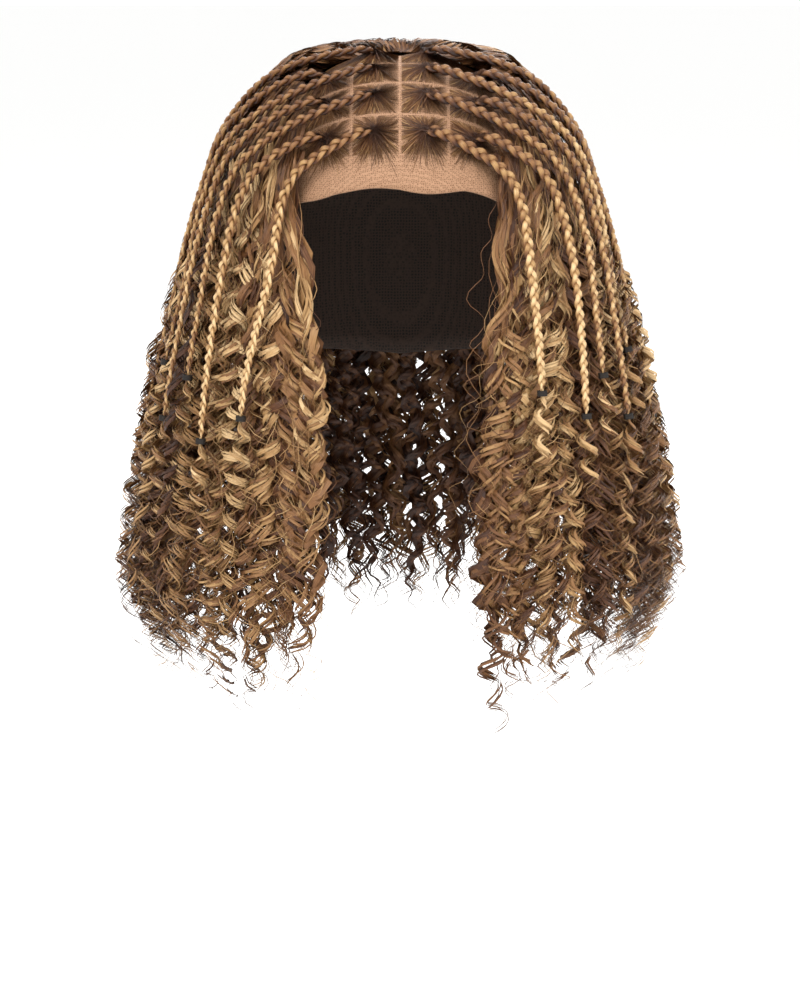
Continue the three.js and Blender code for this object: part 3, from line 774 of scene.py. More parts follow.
    def draw(
        self, strands: Strands, name: str, material: bpy.types.Material, width: float,
        thickness: float = 1.0,
    ) -> bpy.types.Mesh:
        """Turns guide lines into a plain mesh.

        Args:
            strands: The guide lines.
            name: Name for the mesh.
            material: Its material.
            width: Width of a strand of girth 1, in mm.
            thickness: Thickness of a round strand of girth 1, in mm.

        Returns:
            The finished mesh, with nothing left of the guide or its modifier.
        """
        tree = self.tree or self.build()
        guide = strands.guide(f"{name}_guide")
        modifier = guide.modifiers.new("strands", "NODES")
        modifier.node_group = tree
        values = {
            "Material": material, "Strand Width": width * MM, "Strand Thickness": thickness * MM,
            "Width Spread": self.spread if self.profile is Profile.RIBBON else 0.0, "Seed": SEED,
        }
        for item in tree.interface.items_tree:
            if item.name in values:
                modifier[item.identifier] = values[item.name]
        evaluated = guide.evaluated_get(bpy.context.evaluated_depsgraph_get())
        mesh = bpy.data.meshes.new_from_object(evaluated)
        mesh.name = name
        guide.modifiers.remove(modifier)
        line_mesh = guide.data
        bpy.data.objects.remove(guide)
        bpy.data.meshes.remove(line_mesh)
        for spare, _ in self.READ:
            if spare in mesh.attributes:
                mesh.attributes.remove(mesh.attributes[spare])
        return mesh


def join_meshes(meshes: list[bpy.types.Mesh], name: str) -> bpy.types.Object:
    """Joins meshes into one object at the origin.

    Args:
        meshes: Meshes in metres, each with its material.
        name: Name for the object.

    Returns:
        The joined object.
    """
    parts = []
    for mesh in meshes:
        part = bpy.data.objects.new(name, mesh)
        bpy.context.scene.collection.objects.link(part)
        parts.append(part)
    if len(parts) > 1:
        with bpy.context.temp_override(active_object=parts[0], selected_editable_objects=parts):
            bpy.ops.object.join()
    parts[0].name = name
    return parts[0]


def grid_mesh(
    name: str, outer: Array, inner: Array, material: bpy.types.Material
) -> bpy.types.Mesh:
    """Closed wall between an outer and an inner grid of points.

    Args:
        name: Name for the mesh.
        outer: Outer points in mm, as columns of rows.
        inner: Inner points in mm, in the same layout.
        material: Its material.

    Returns:
        The wall, with its doubles merged and its faces pointing out.
    """
    columns, rows = outer.shape[0], outer.shape[1]
    points = np.concatenate([outer.reshape(-1, 3), inner.reshape(-1, 3)]) * MM
    index = np.arange(columns * rows).reshape(columns, rows)
    back = index + columns * rows
    faces = []
    for c in range(columns - 1):
        for r in range(rows - 1):
            faces.append((index[c, r], index[c, r + 1], index[c + 1, r + 1], index[c + 1, r]))
            faces.append((back[c, r], back[c + 1, r], back[c + 1, r + 1], back[c, r + 1]))
        faces.append((index[c, 0], index[c + 1, 0], back[c + 1, 0], back[c, 0]))
        faces.append((index[c, -1], back[c, -1], back[c + 1, -1], index[c + 1, -1]))
    for r in range(rows - 1):
        faces.append((index[0, r], back[0, r], back[0, r + 1], index[0, r + 1]))
        faces.append((index[-1, r], index[-1, r + 1], back[-1, r + 1], back[-1, r]))
    mesh = bpy.data.meshes.new(name)
    mesh.from_pydata(points.tolist(), [], [tuple(int(i) for i in face) for face in faces])
    mesh.materials.append(material)
    form = bmesh.new()
    form.from_mesh(mesh)
    bmesh.ops.remove_doubles(form, verts=form.verts, dist=1e-6)
    bmesh.ops.dissolve_degenerate(form, edges=form.edges, dist=1e-7)
    bmesh.ops.recalc_face_normals(form, faces=form.faces)
    form.to_mesh(mesh)
    form.free()
    for polygon in mesh.polygons:
        polygon.use_smooth = True
    return mesh


def settle(piece: bpy.types.Object, slot: str, *nodes: str) -> None:
    """Makes a piece ride on the wig's body and stand for its nodes."""
    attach(piece, BODY)
    if nodes:
        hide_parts(*nodes)
    log.info("%s: %d faces, for %s", piece.name, len(piece.data.polygons), ", ".join(nodes))


# Cap


@dataclass
class WigCap:
    """Lace front and stretch net that the hair is knotted and sewn to."""

    form: CapForm
    columns: int = 97
    rows: int = 30
    seam_turn: float = 90.0

    def half(self, name: str, low: float, high: float, wall: float,
             material: bpy.types.Material, shift: float) -> bpy.types.Object:
        """Builds half of the cap between two turns.

        Args:
            name: Name for the piece.
            low: First turn, in degrees.
            high: Last turn, in degrees.
            wall: Thickness, in mm.
            material: Its material.
            shift: Which way it stands off the ear to ear seam.

        Returns:
            The piece.
        """
        turn = np.linspace(low, high, self.columns)
        angle = self.form.angle_at_depth(turn, self.form.rim_depth(turn))
        share = np.linspace(0, 1, self.rows)
        directions = self.form.polar(turn[:, None], angle[:, None] * share[None, :])
        offset = np.array([0.0, shift * self.form.seam_gap / 2, 0.0])
        outer = self.form.point(directions, wall) + offset
        inner = self.form.point(directions, 0.0) + offset
        return join_meshes([grid_mesh(name, outer, inner, material)], name)

    def build(self) -> None:
        """Builds both halves and settles them."""
        seam = self.seam_turn
        lace = self.half("lace_panel", -seam, seam, self.form.lace_wall, LaceFinish().material(), -1)
        settle(lace, "lace", "lace_front")
        net = self.half(
            "net_cap", seam, 360 - seam, self.form.net_wall, NetFinish().material(), 1
        )
        settle(net, "cap_net", "cap_net")


# Loose hair


@dataclass(frozen=True)
class Slice:
    """One hanging slice of loose hair between two turns, and how blonde it is."""

    name: str
    node: str
    low: float
    high: float
    blonde: float

    @property
    def order(self) -> int:
        """Number of its own for its random values."""
        return int(self.low + 360)


@dataclass(frozen=True)
class Curl:
    """How a strand goes from a soft wave at its root to tight curls at its hem.

    Names ending in from and over say where a change starts and how long it takes, in mm along
    the strand. Names ending in run are the length of a slow wave over a radian.
    """

    course_points: int = 90
    fewest_points: int = 6
    radius: float = 3.5
    room: float = 4.2
    wave_pitch: float = 27.0
    curl_pitch: float = 14.5
    pitch_from: float = 45.0
    radius_from: float = 10.0
    round_from: float = 30.0
    curl_over: float = 110.0
    uneven: tuple[tuple[float, float, int], ...] = ((0.2, 23.0, 1), (0.1, 9.0, 2))
    sway_turns: float = 4.0
    sway_rate: float = 4.0
    drift_rate: float = 1.3
    rise_share: float = 0.06
    lift_rate: float = 3.0
    gather_over: float = 40.0
    meander: float = 2.3
    meander_in: float = 0.6
    meander_over: float = 70.0
    meander_run: float = 8.5
    meander_in_run: float = 11.0
    root_radius: float = 0.3
    tip_radius: float = 0.75
    radius_wave: float = 0.22
    radius_run: float = 19.0
    root_roundness: float = 0.35
    tip_share: float = 0.12
    root_tone: float = 0.6
    root_tone_over: float = 60.0
    middle_tone: float = 1.08
    hem_tone: float = 0.84
    hem_from: float = 130.0
    hem_tone_over: float = 120.0
    tone_wave: float = 0.06
    tone_run: float = 37.0
    root_girth: float = 0.55
    root_girth_over: float = 30.0
    hem_girth: float = 0.78


@dataclass
class LooseHair:
    """Loose curly hair: locks of ribbons that fall along the hair's form, with frizz round them."""

    form: HairForm
    tree: StrandTree
    material: bpy.types.Material
    temple_depth: float = 56.0
    crown_half_width: float = 53.0
    crown_back: float = 52.0
    squares_half_width: float = 46.5
    beside_squares: float = 84.0
    crown_corner: float = 1.095
    crown_power: float = 4.0
    crown_gap: float = 1.4
    crown_front: float = 4.5
    face_turn: float = 31.0
    face_closing: float = 7.0
    face_span: float = 43.0
    room_share: float = 0.45
    curl: Curl = Curl()
    layers: tuple[tuple[float, int, int, float, float], ...] = (
        # place across the curtain, locks, ribbons in a lock, steps in a turn, width
        (1.0, 13, 7, 10.0, 1.0), (0.78, 9, 6, 8.0, 1.1), (0.6, 9, 3, 4.0, 2.6),
        (0.4, 8, 4, 5.0, 2.0), (0.12, 7, 4, 5.0, 2.3),
    )
    cover_locks: int = 9
    cover_lift: float = 8.0
    wisp_drop: float = 17.0
    frizz_each_slice: int = 95
    outermost: float = 0.9
    cover_turn: float = 60.0
    cover_start: float = 0.4
    cover_end: tuple[float, float] = (0.75, 0.95)
    root_layer: float = 0.1
    lock_end: tuple[float, float] = (0.93, 1.0)
    inner_end: tuple[float, float] = (0.86, 0.99)
    lock_drift: float = 2.6
    lock_radius: tuple[float, float] = (0.72, 1.25)
    lock_stretch: tuple[float, float] = (0.75, 1.35)
    lock_spread: tuple[float, float] = (0.65, 1.25)
    stray_share: float = 0.2
    slice_edge: float = 0.3
    highlight: tuple[float, float] = (0.7, 0.1)
    lowlight: tuple[float, float] = (0.36, 0.08)
    lock_width: float = 1.55
    frizz_width: float = 1.6
    crown_strands: int = 1300
    crown_points: int = 26
    crown_width: float = 1.8
    crown_wave: float = 1.6
    crown_wave_run: float = 19.0

    def root_place(self, turn: Array) -> Array:
        """Place at which a slice's hair starts, outside the crown and the braided squares."""
        side, ahead = np.sin(np.radians(turn)), np.cos(np.radians(turn))
        edge = np.where(np.abs(turn) < self.beside_squares, self.squares_half_width, self.crown_half_width)
        beside = edge / np.maximum(np.abs(side), 1e-3)
        spread = self.crown_half_width * self.crown_corner
        power = self.crown_power
        curve = (np.abs(side) / spread) ** power + (np.maximum(-ahead, 0) / self.crown_back) ** power
        behind = np.where(ahead > 0, np.inf, np.maximum(curve, 1e-12) ** (-1 / power))
        edge = self.form.place_at_radius(turn, np.minimum(beside, behind) + self.crown_gap)
        return np.minimum(edge, self.form.place_at_depth(self.temple_depth))

    def fall(self, turn: Array, place: Array, layer: Array, room: float) -> Array:
        """Line of a lock's middle through the curtain.

        Args:
            turn: Turn at each point.
            place: Place at each point.
            layer: How far out in the curtain each point lies, from 0 to 1.
            room: Radius that the lock's curls need inside the form, in mm.

        Returns:
            The points, in mm.
        """
        depth = -self.form.height(place)
        low = np.clip((depth - self.temple_depth) / (self.form.drop - self.temple_depth), 0, 1)
        near = np.maximum(1 - (np.abs(turn) - self.face_turn) / self.face_span, 0)
        closing = self.face_closing * near * np.sin(np.pi * low)
        outer = self.form.point(turn - np.sign(turn) * closing, place)
        inner = self.form.inner(outer)
        wall = np.linalg.norm(outer - inner, axis=-1)
        need = np.minimum(room, wall * self.room_share)
        reach = need + layer * np.maximum(wall - 2 * need, 0)
        return inner + unit(outer - inner) * reach[:, None]

    def strand(
        self, strands: Strands, draw: np.random.Generator, turns: tuple[float, float],
        places: tuple[float, float], layers: tuple[float, float], phase: float, hand: float,
        radius: float, tone: float, offset: tuple[float, float], steps: float, girth: float,
        wander: float = 1.5, stretch: float = 1.0, extra: tuple[float, float] = (0.0, 0.0),
        sway_phase: float = 0.0,
    ) -> None:
        """Adds one curled strand.

        Args:
            strands: Where it goes.
            draw: Not used.
            turns: Turn at its root and at its tip.
            places: Place at its root and at its tip.
            layers: Layer at its root and further down.
            phase: Where its curl starts, in radians.
            hand: Which way it curls, 1 or -1.
            radius: Radius of its curls low down, in mm.
            tone: Its tone, from 0, dark, to 1, blonde.
            offset: Its place across the lock, sideways and outwards, in mm.
            steps: Points for each whole curl.
            girth: Its width as a share of the tree's.
            wander: How far it strays in turn, in degrees.
            stretch: Its curl's pitch as a share of the usual one.
            extra: How far it lies out over the form, and drops below it at its tip, in mm.
            sway_phase: Where its slow sway starts, in radians, the same all through a lock.
        """
        c = self.curl
        s = np.linspace(0, 1, c.course_points)
        sway = wander * np.sin(s * (c.sway_turns + sway_phase / 2) + sway_phase)
        turn = mix(turns[0], turns[1], smooth(s * c.drift_rate)) + sway * smooth(s * c.sway_rate)
        place = mix(places[0], places[1], s)
        layer = mix(layers[0], layers[1], smooth(s / c.rise_share))
        line = self.fall(turn, place, layer, radius + c.room)
        out = self.form.outwards(line)
        line = line + out * (extra[0] * smooth(s * c.lift_rate))[:, None]
        line[:, 2] -= extra[1] * s**3
        lengths = run_lengths(line)
        pitch = mix(c.wave_pitch, c.curl_pitch, smooth((lengths - c.pitch_from) / c.curl_over))
        uneven = sum(size * np.sin(lengths / run + k * sway_phase) for size, run, k in c.uneven)
        pitch = pitch * stretch * (1 + uneven)
        turned = np.concatenate([[0], np.cumsum(np.diff(lengths) / pitch[1:])]) * TURN
        count = max(int(turned[-1] / TURN * steps), c.fewest_points)
        angle = np.linspace(0, turned[-1], count)
        wanted = np.interp(angle, turned, lengths)
        centre = along_line(line, lengths, wanted)
        facing = unit(along_line(out, lengths, wanted))
        aside = unit(np.cross(unit(np.gradient(centre, axis=0)), facing))
        spread = smooth(wanted / c.gather_over)
        roam = c.meander * smooth(wanted / c.meander_over)
        across = roam * np.sin(wanted / c.meander_run + 2 * sway_phase)
        inwards = roam * c.meander_in * (np.sin(wanted / c.meander_in_run + 3 * sway_phase) - 1)
        centre = centre + aside * (offset[0] * spread)[:, None]
        centre = centre + facing * (offset[1] * spread)[:, None]
        centre = centre + aside * across[:, None]
        centre = centre + facing * inwards[:, None]
        tip = np.clip((1 - wanted / lengths[-1]) / c.tip_share, c.tip_share, 1)
        grown = mix(c.root_radius, 1.0, smooth((wanted - c.radius_from) / c.curl_over))
        grown = grown * mix(c.tip_radius, 1.0, tip)
        grown = grown * (1 + c.radius_wave * np.sin(wanted / c.radius_run + 3 * sway_phase))
        darker = mix(c.root_tone, 1.0, smooth(wanted / c.root_tone_over))
        low_down = smooth((wanted - c.hem_from) / c.hem_tone_over)
        darker = darker * mix(c.middle_tone, c.hem_tone, low_down)
        slim = np.minimum(tip, mix(c.root_girth, 1.0, smooth(wanted / c.root_girth_over)))
        slim = slim * mix(1.0, c.hem_girth, smooth((wanted - c.hem_from) / c.curl_over))
        strands.add(
            centre, facing, phase=phase + hand * angle, coil=radius * MM * grown,
            roundness=mix(c.root_roundness, 1.0, smooth((wanted - c.round_from) / c.curl_over)),
            tone=tone * darker + c.tone_wave * np.sin(wanted / c.tone_run + sway_phase),
            girth=girth * slim,
        )

    def shade(self, draw: np.random.Generator, slice_: Slice, order: int) -> float:
        """Tone of one lock: blonde where its order makes it a highlight, brown elsewhere."""
        if order * GOLDEN_SHARE % 1 < slice_.blonde:
            return float(draw.normal(*self.highlight))
        return float(draw.normal(*self.lowlight))

    def lock(self, strands: Strands, draw: np.random.Generator, slice_: Slice, order: int,
             turn: float, layer: float, ribbons: int, steps: float, width: float,
             lift: float = 0.0) -> None:
        """Adds one lock: ribbons side by side that share a curl, a tone and a tip length.

        Args:
            strands: Where it goes.
            draw: Source of random values.
            slice_: Slice that it hangs in.
            order: Its number in the slice.
            turn: Turn at its root, in degrees.
            layer: How far out in the curtain it lies, from 0 to 1.
            ribbons: How many ribbons it has.
            steps: Points for each whole curl.
            width: Width of its ribbons, as a share of the usual one.
            lift: How far it lies out over the form, in mm.
        """
        outermost = layer > self.outermost
        root = float(self.root_place(np.array(turn)))
        start = root if outermost else mix(root, 0.45, draw.uniform(0.0, 0.7) * (1 - layer))
        end = draw.uniform(*(self.lock_end if outermost else self.inner_end))
        first = self.root_layer
        if lift:
            start = mix(root, self.cover_start, draw.uniform(0.0, 0.45))
            end, first = draw.uniform(*self.cover_end), self.outermost
        drop = self.wisp_drop * draw.uniform() ** 2
        phase, hand = draw.uniform(0, TURN), draw.choice([-1.0, 1.0])
        # Hair deep in the curtain is drawn darker, as it lies in the shade
        tone = self.shade(draw, slice_, order) * mix(0.55, 1.0, layer)
        drift = turn + draw.normal(0, self.lock_drift)
        radius = self.curl.radius * draw.uniform(*self.lock_radius)
        stretch = draw.uniform(*self.lock_stretch)
        band = draw.uniform(*self.lock_spread)
        for i in range(ribbons):
            # Ribbons share the lock's curl a little apart, and some stray from it
            across = 2 * (i + 0.5) / ribbons - 1
            stray = 0.15 + 0.6 * (draw.uniform() < self.stray_share)
            self.strand(
                strands, draw, (turn + draw.normal(0, 0.5), drift + draw.normal(0, stray)),
                (start, end * draw.uniform(0.94, 1.0)), (min(first, layer), layer),
                phase + band * across + draw.normal(0, stray * 0.6), hand,
                radius * (1 + draw.normal(0, stray * 0.3)),
                float(np.clip(tone + draw.normal(0, 0.11), 0.03, 1)),
                (draw.normal(0, 0.5 + stray), draw.normal(-0.4, 0.5)), steps,
                width * draw.uniform(0.55, 1.15), wander=1.5, stretch=stretch, extra=(lift, drop),
                sway_phase=phase,
            )

    def hang(self, slice_: Slice) -> None:
        """Builds one hanging slice of locks and frizz."""
        draw = np.random.default_rng(SEED + slice_.order)
        locks, frizz = Strands(), Strands()
        near, far = slice_.low + self.slice_edge, slice_.high - self.slice_edge
        order = 0
        for layer, count, ribbons, steps, width in self.layers:
            for i in range(count):
                share = (i + 0.5 + draw.uniform(-0.35, 0.35)) / count
                turn = mix(near, far, share)
                order += 1
                self.lock(locks, draw, slice_, order, turn, layer, ribbons, steps, width)
        for _ in range(self.cover_locks):
            turn = draw.uniform(near, far)
            order += 1
            if abs(turn) > self.cover_turn:
                lift = draw.uniform(0.6, 1.0) * self.cover_lift
                self.lock(locks, draw, slice_, order, turn, 1.0, 6, 10.0, 0.9, lift)
        for i in range(self.frizz_each_slice):
            turn = draw.uniform(near, far)
            root = float(self.root_place(np.array(turn)))
            start = mix(root, 0.7, draw.uniform(0, 1) ** 2)
            tone = self.shade(draw, slice_, i) * 0.85
            self.strand(
                frizz, draw, (turn, turn + draw.normal(0, 4)), (start, draw.uniform(0.85, 1.0)),
                (0.8, draw.uniform(0.85, 1.0)), draw.uniform(0, 6.28), draw.choice([-1.0, 1.0]),
                self.curl.radius * draw.uniform(0.8, 1.5), float(np.clip(tone, 0.05, 1)),
                (draw.normal(0, 3), draw.normal(0, 1)), 7.0, draw.uniform(0.14, 0.27),
                wander=3.0, stretch=draw.uniform(0.8, 1.4),
                extra=(draw.uniform(0, 4), self.wisp_drop * draw.uniform()),
                sway_phase=draw.uniform(0, 6.28),
            )
        meshes = [
            self.tree.draw(locks, slice_.name, self.material, self.lock_width),
            self.tree.draw(frizz, f"{slice_.name}_frizz", self.material, self.frizz_width),
        ]
        settle(join_meshes(meshes, slice_.name), "loose_hair", slice_.node)

    def crown(self) -> None:
        """Builds the hair over the crown, combed back and down from the parting."""
        draw = np.random.default_rng(SEED + 500)
        strands = Strands()
        s = np.linspace(0, 1, self.crown_points)
        front = -self.crown_front
        for i in range(self.crown_strands):
            side = draw.choice([-1.0, 1.0])
            # Two in five start at the crown's front edge, and those away from the parting reach
            # under the last braids
            at_front = i % 5 < 2
            root = np.array([
                side * self.crown_half_width * draw.uniform(0.0, 1.0),
                front if at_front else draw.uniform(front, self.crown_back * 0.8),
            ])
            if at_front and abs(root[0]) > 16:
                root[1] -= draw.uniform(0, 10)
            # Behind, hair close to the parting falls over it to either side
            if root[1] > 5 and abs(root[0]) < 9:
                side = draw.choice([-1.0, 1.0])
            lean = 12 * min(1.0, 0.1 + abs(root[0]) / 25)
            away = unit(root + np.array([side * lean, 14 + draw.uniform(0, 20)]))
            length = max(self.crown_half_width - np.hypot(*root), 8) + draw.uniform(12, 45)
            bow = 0.08 * length * draw.normal() * np.sin(np.pi * s)
            x = root[0] + away[0] * length * s - away[1] * bow
            y = root[1] + away[1] * length * s + away[0] * bow
            turns = np.degrees(np.arctan2(x, -y)) % 360
            place = self.form.place_at_radius(turns, np.hypot(x, y))
            outer = self.form.point(turns, place, -draw.uniform(0.3, 4.0))
            reach = draw.uniform(9, 20) if at_front else draw.uniform(6, 16)
            grown = smooth(run_lengths(outer) / reach)[:, None]
            line = mix(self.form.inner(outer), outer, grown)
            lengths = run_lengths(line)
            tone = float(np.clip(draw.normal(0.42, 0.14), 0.05, 1))
            strands.add(
                line, self.form.outwards(line),
                phase=lengths / self.crown_wave_run * TURN + x[0] / 5,
                coil=self.crown_wave * MM * smooth(lengths / 15), roundness=0.25,
                tone=tone * (0.75 + 0.25 * smooth(lengths / 25)), girth=draw.uniform(0.4, 1.0),
            )
        mesh = self.tree.draw(strands, "crown_waves", self.material, self.crown_width)
        settle(join_meshes([mesh], "crown_waves"), "loose_hair", "hair_crown")


# Braids


@dataclass(frozen=True)
class BraidPlan:
    """One braid: its square on the lace, its shoulder and where it ends."""

    side: Side
    number: int
    row: int
    column: int
    span: int
    shoulder_turn: float
    shoulder: float
    end_turn: float
    end: float
    tone: float

    @property
    def label(self) -> str:
        """Side and number, such as left_3."""
        return f"{self.side.name.lower()}_{self.number}"


BRAID_TABLE = (
    # row, column, span, then shoulder turn, shoulder, end turn, end and tone, left and right
    (1, 1, 1, (34, 0.43, 40, 0.93, 0.74), (35, 0.44, 36, 0.86, 0.72)),
    (1, 2, 1, (49, 0.46, 50, 1.0, 0.64), (48, 0.48, 47, 0.93, 0.7)),
    (2, 1, 1, (56, 0.43, 57, 0.84, 0.46), (55, 0.44, 54, 0.83, 0.52)),
    (2, 2, 1, (63, 0.4, 64, 0.96, 0.5), (62, 0.4, 61, 0.95, 0.46)),
    (3, 1, 1, (70, 0.35, 71, 0.82, 0.4), (69, 0.35, 68, 0.78, 0.6)),
    (3, 2, 1, (79, 0.32, 81, 0.97, 0.42), (78, 0.32, 79, 0.98, 0.42)),
    (4, 1, 2, (90, 0.28, 93, 0.88, 0.38), (89, 0.28, 92, 0.9, 0.4)),
)


def braid_plans() -> list[BraidPlan]:
    """Plans of all braids, left side first."""
    plans = []
    for side in Side:
        for number, (row, column, span, left, right) in enumerate(BRAID_TABLE, start=1):
            course = left if side is Side.LEFT else right
            plans.append(BraidPlan(side, number, row, column, span, *course))
    return plans


@dataclass
class Braids:
    """Slim box braids with their gathered root squares, elastics and curly tails."""

    form: HairForm
    plait_tree: StrandTree
    ribbon_tree: StrandTree
    hair: bpy.types.Material
    elastic: bpy.types.Material
    square_width: float = 21.5
    parting: float = 1.4
    hairline_rise: float = 38.0
    row_rise: float = 12.0
    parting_rise: float = 0.8
    root_clearance: float = 0.55
    root_height: float = 2.2
    width: float = 6.2
    thickness: float = 4.8
    taper: float = 0.68
    sink: float = 1.2
    bury: tuple[float, ...] = (0.0, 2.4, 5.0, 5.5)
    drop: float = 178.0
    dip: float = 1.25
    neck_radius: float = 1.5
    band_height: float = 2.6
    tail_length: float = 36.0
    lobe_pitch: float = 6.3
    root_hairs: int = 500
    root_hair_width: float = 0.52
    plait_step: float = 1.15
    plait_swing: float = 0.29
    plait_weave: float = 0.21
    strand_width: float = 0.43
    strand_thickness: float = 0.42
    strand_tones: tuple[float, float, float] = (0.14, -0.16, 0.04)
    tail_hairs: int = 13
    tail_step: float = 1.5
    tail_pitch: float = 12.5
    tail_width: float = 1.8
    band_around: int = 20
    band_winds: int = 18
    band_clearance: float = 0.15
    band_wall: float = 0.05
    band_bulge: float = 0.8
    # Tone along each square's hairs, from its edge to inside the braid: painted shade that darkens them
    # towards the tuft under the braid's start
    tuft_shade_tones: tuple[float, ...] = (1.0, 0.95, 0.8, 0.55, 0.3, 0.22, 0.5)
    square_girths: tuple[float, ...] = (0.4, 0.9, 1.0, 1.0, 1.0, 1.0, 0.7)

    def square(self, plan: BraidPlan) -> tuple[float, float, float, float, float, float]:
        """Edges of a braid's square, near and far from the parting, low and high, and its middle."""
        near = (plan.column - 1) * (self.square_width + self.parting) + self.parting / 2
        far = near + plan.span * self.square_width + (plan.span - 1) * self.parting
        low = self.hairline_rise + (plan.row - 1) * self.row_rise
        high = low + self.row_rise - self.parting_rise
        sign = plan.side.value
        return sign * near, sign * far, low, high, sign * (near + self.square_width / 2), (low + high) / 2

    def course(self, plan: BraidPlan) -> tuple[Array, Array]:
        """Line of a braid's middle, from its tuft to its elastic, and of its tail below that.

        Args:
            plan: The braid.

        Returns:
            The braid's points and the tail's points, in mm.
        """
        cap = self.form.cap
        _, _, _, _, middle, rise = self.square(plan)
        lift = cap.lace_wall + self.root_clearance + self.root_height
        tuft = cap.front_point(middle, rise, lift)
        tuft_turn = math.degrees(math.atan2(tuft[0], -tuft[1]))
        lean = math.atan2(math.hypot(tuft[0], tuft[1]), tuft[2] + cap.crown)
        places = np.linspace(0, 1, self.form.samples)
        spine = self.form.point(np.full_like(places, tuft_turn), places)
        leans = np.arctan2(np.hypot(spine[:, 0], spine[:, 1]), spine[:, 2] + cap.crown)
        tuft_place = float(np.interp(lean, leans, places))
        sign = plan.side.value
        shoulder = float(self.form.place_at_depth(plan.shoulder * self.drop))
        rest = self.thickness / 2 - self.sink
        out = np.linspace(0.05, 1, 70)
        first = self.form.point(
            mix(tuft_turn, sign * plan.shoulder_turn, np.sin(out * math.pi / 2)),
            mix(tuft_place, shoulder, out**self.dip), rest * np.minimum(0.2 + out * 4, 1),
        )
        down = np.linspace(0, 1, 90)[1:]
        depths = mix(plan.shoulder, plan.end, down) * self.drop
        turns = sign * mix(plan.shoulder_turn, plan.end_turn, smooth(down))
        sunk = self.bury[plan.row - 1] * smooth(down * 1.6)
        second = self.form.point(turns, self.form.place_at_depth(depths), rest - sunk)
        below = np.linspace(0, 1, 30)
        place = self.form.place_at_depth(plan.end * self.drop + below * self.tail_length)
        tail = self.form.point(np.full_like(place, sign * plan.end_turn), place, rest - sunk[-1])
        line = np.concatenate([tuft[None, :], first, second])
        for _ in range(6):
            line[1:-1] = (line[:-2] + 2 * line[1:-1] + line[2:]) / 4
        return line, tail

    def roots(self, plan: BraidPlan, line: Array, draw: np.random.Generator) -> Strands:
        """Hair of a square, combed over the lace from its edges up into the braid's start."""
        cap = self.form.cap
        near, far, low, high, middle, rise = self.square(plan)
        strands = Strands()
        base = cap.lace_wall + 0.25
        lengths = run_lengths(line)
        # Each hair bows over to the tuft and ends in the braid's first turn
        into = along_line(line, lengths, np.array([1.0, 5.5]))
        s = np.linspace(0, 1, 6)[:, None]
        for _ in range(self.root_hairs * plan.span):
            x, up = mix(near, far, draw.uniform()), draw.uniform(low, high)
            edge = draw.uniform()
            if edge < 0.22:
                x = draw.choice([near, far])
            elif edge < 0.44:
                up = draw.choice([low, high])
            stray = plan.row == 1 and edge > 0.8
            if stray:
                up = low - abs(draw.normal(0, 2.2))
            start = cap.front_point(x, up, base)
            knot = into[0] + draw.normal(0, 0.9, 3)
            swirl = draw.normal(0, 1.6)
            bow = draw.uniform(0.4, 0.75)
            halfway = cap.front_point(
                mix(x, middle, bow) + swirl, mix(up, rise, bow), base + draw.uniform(0.7, 2.2)
            )
            curve = (1 - s) ** 2 * start + 2 * s * (1 - s) * halfway + s**2 * knot
            curve = np.concatenate([curve, (into[1] + draw.normal(0, 0.9, 3))[None, :]])
            # Each hair has its own tone at the square's edge and is painted darker towards the tuft, a
            # painted shadow under the braid's start
            edge_tone = float(np.clip(draw.normal(0.46, 0.15), 0.08, 0.85))
            strands.add(
                curve, self.form.outwards(curve), phase=0.0, coil=0.0, roundness=0.0,
                tone=edge_tone * np.array(self.tuft_shade_tones),
                girth=draw.uniform(0.35, 1.0) * (0.6 if stray else 1) * np.array(self.square_girths),
            )
        return strands

    def plait(self, plan: BraidPlan, line: Array) -> Strands:
        """Three strands that cross over each other along a braid's line."""
        lengths = run_lengths(line)
        total = lengths[-1]
        wanted = np.arange(0, total, self.plait_step)
        centre = along_line(line, lengths, wanted)
        share = wanted / total
        out = self.form.outwards(centre)
        size = mix(1.0, self.taper, smooth(share)) * np.minimum(1, 0.45 + wanted / 9)
        pinch = mix(0.42, 1.0, smooth((total - wanted - 1.0) / 6))
        size = size * pinch
        # Three lobes show for each whole turn, and they grow shorter towards the elastic
        turned = np.cumsum(self.plait_step / (3 * self.lobe_pitch * mix(1.0, 0.66, share)))
        tangent = unit(np.gradient(centre, axis=0))
        aside = unit(np.cross(tangent, out))
        strands = Strands()
        for strand in range(3):
            angle = TURN * (turned + strand / 3)
            swing = np.sin(angle) * size * self.width * self.plait_swing
            weave = np.sin(2 * angle) * size * self.thickness * self.plait_weave
            path = centre + aside * swing[:, None] + out * weave[:, None]
            tone = plan.tone + self.strand_tones[strand] + 0.05 * np.sin(wanted / 17)
            # The last term is painted light and shade: a strand is painted lighter where the weave lifts it
            # out and painted darker where it crosses under, in the plait's crevices
            tone = tone * mix(0.42, 1.06, smooth((wanted - 10) / 95)) + 0.25 * np.sin(2 * angle)
            strands.add(
                path, out, phase=0.0, coil=0.0, roundness=0.0,
                tone=np.clip(tone, 0.03, 1), girth=size * (1 + 0.12 * np.sin(2 * angle)),
            )
        return strands

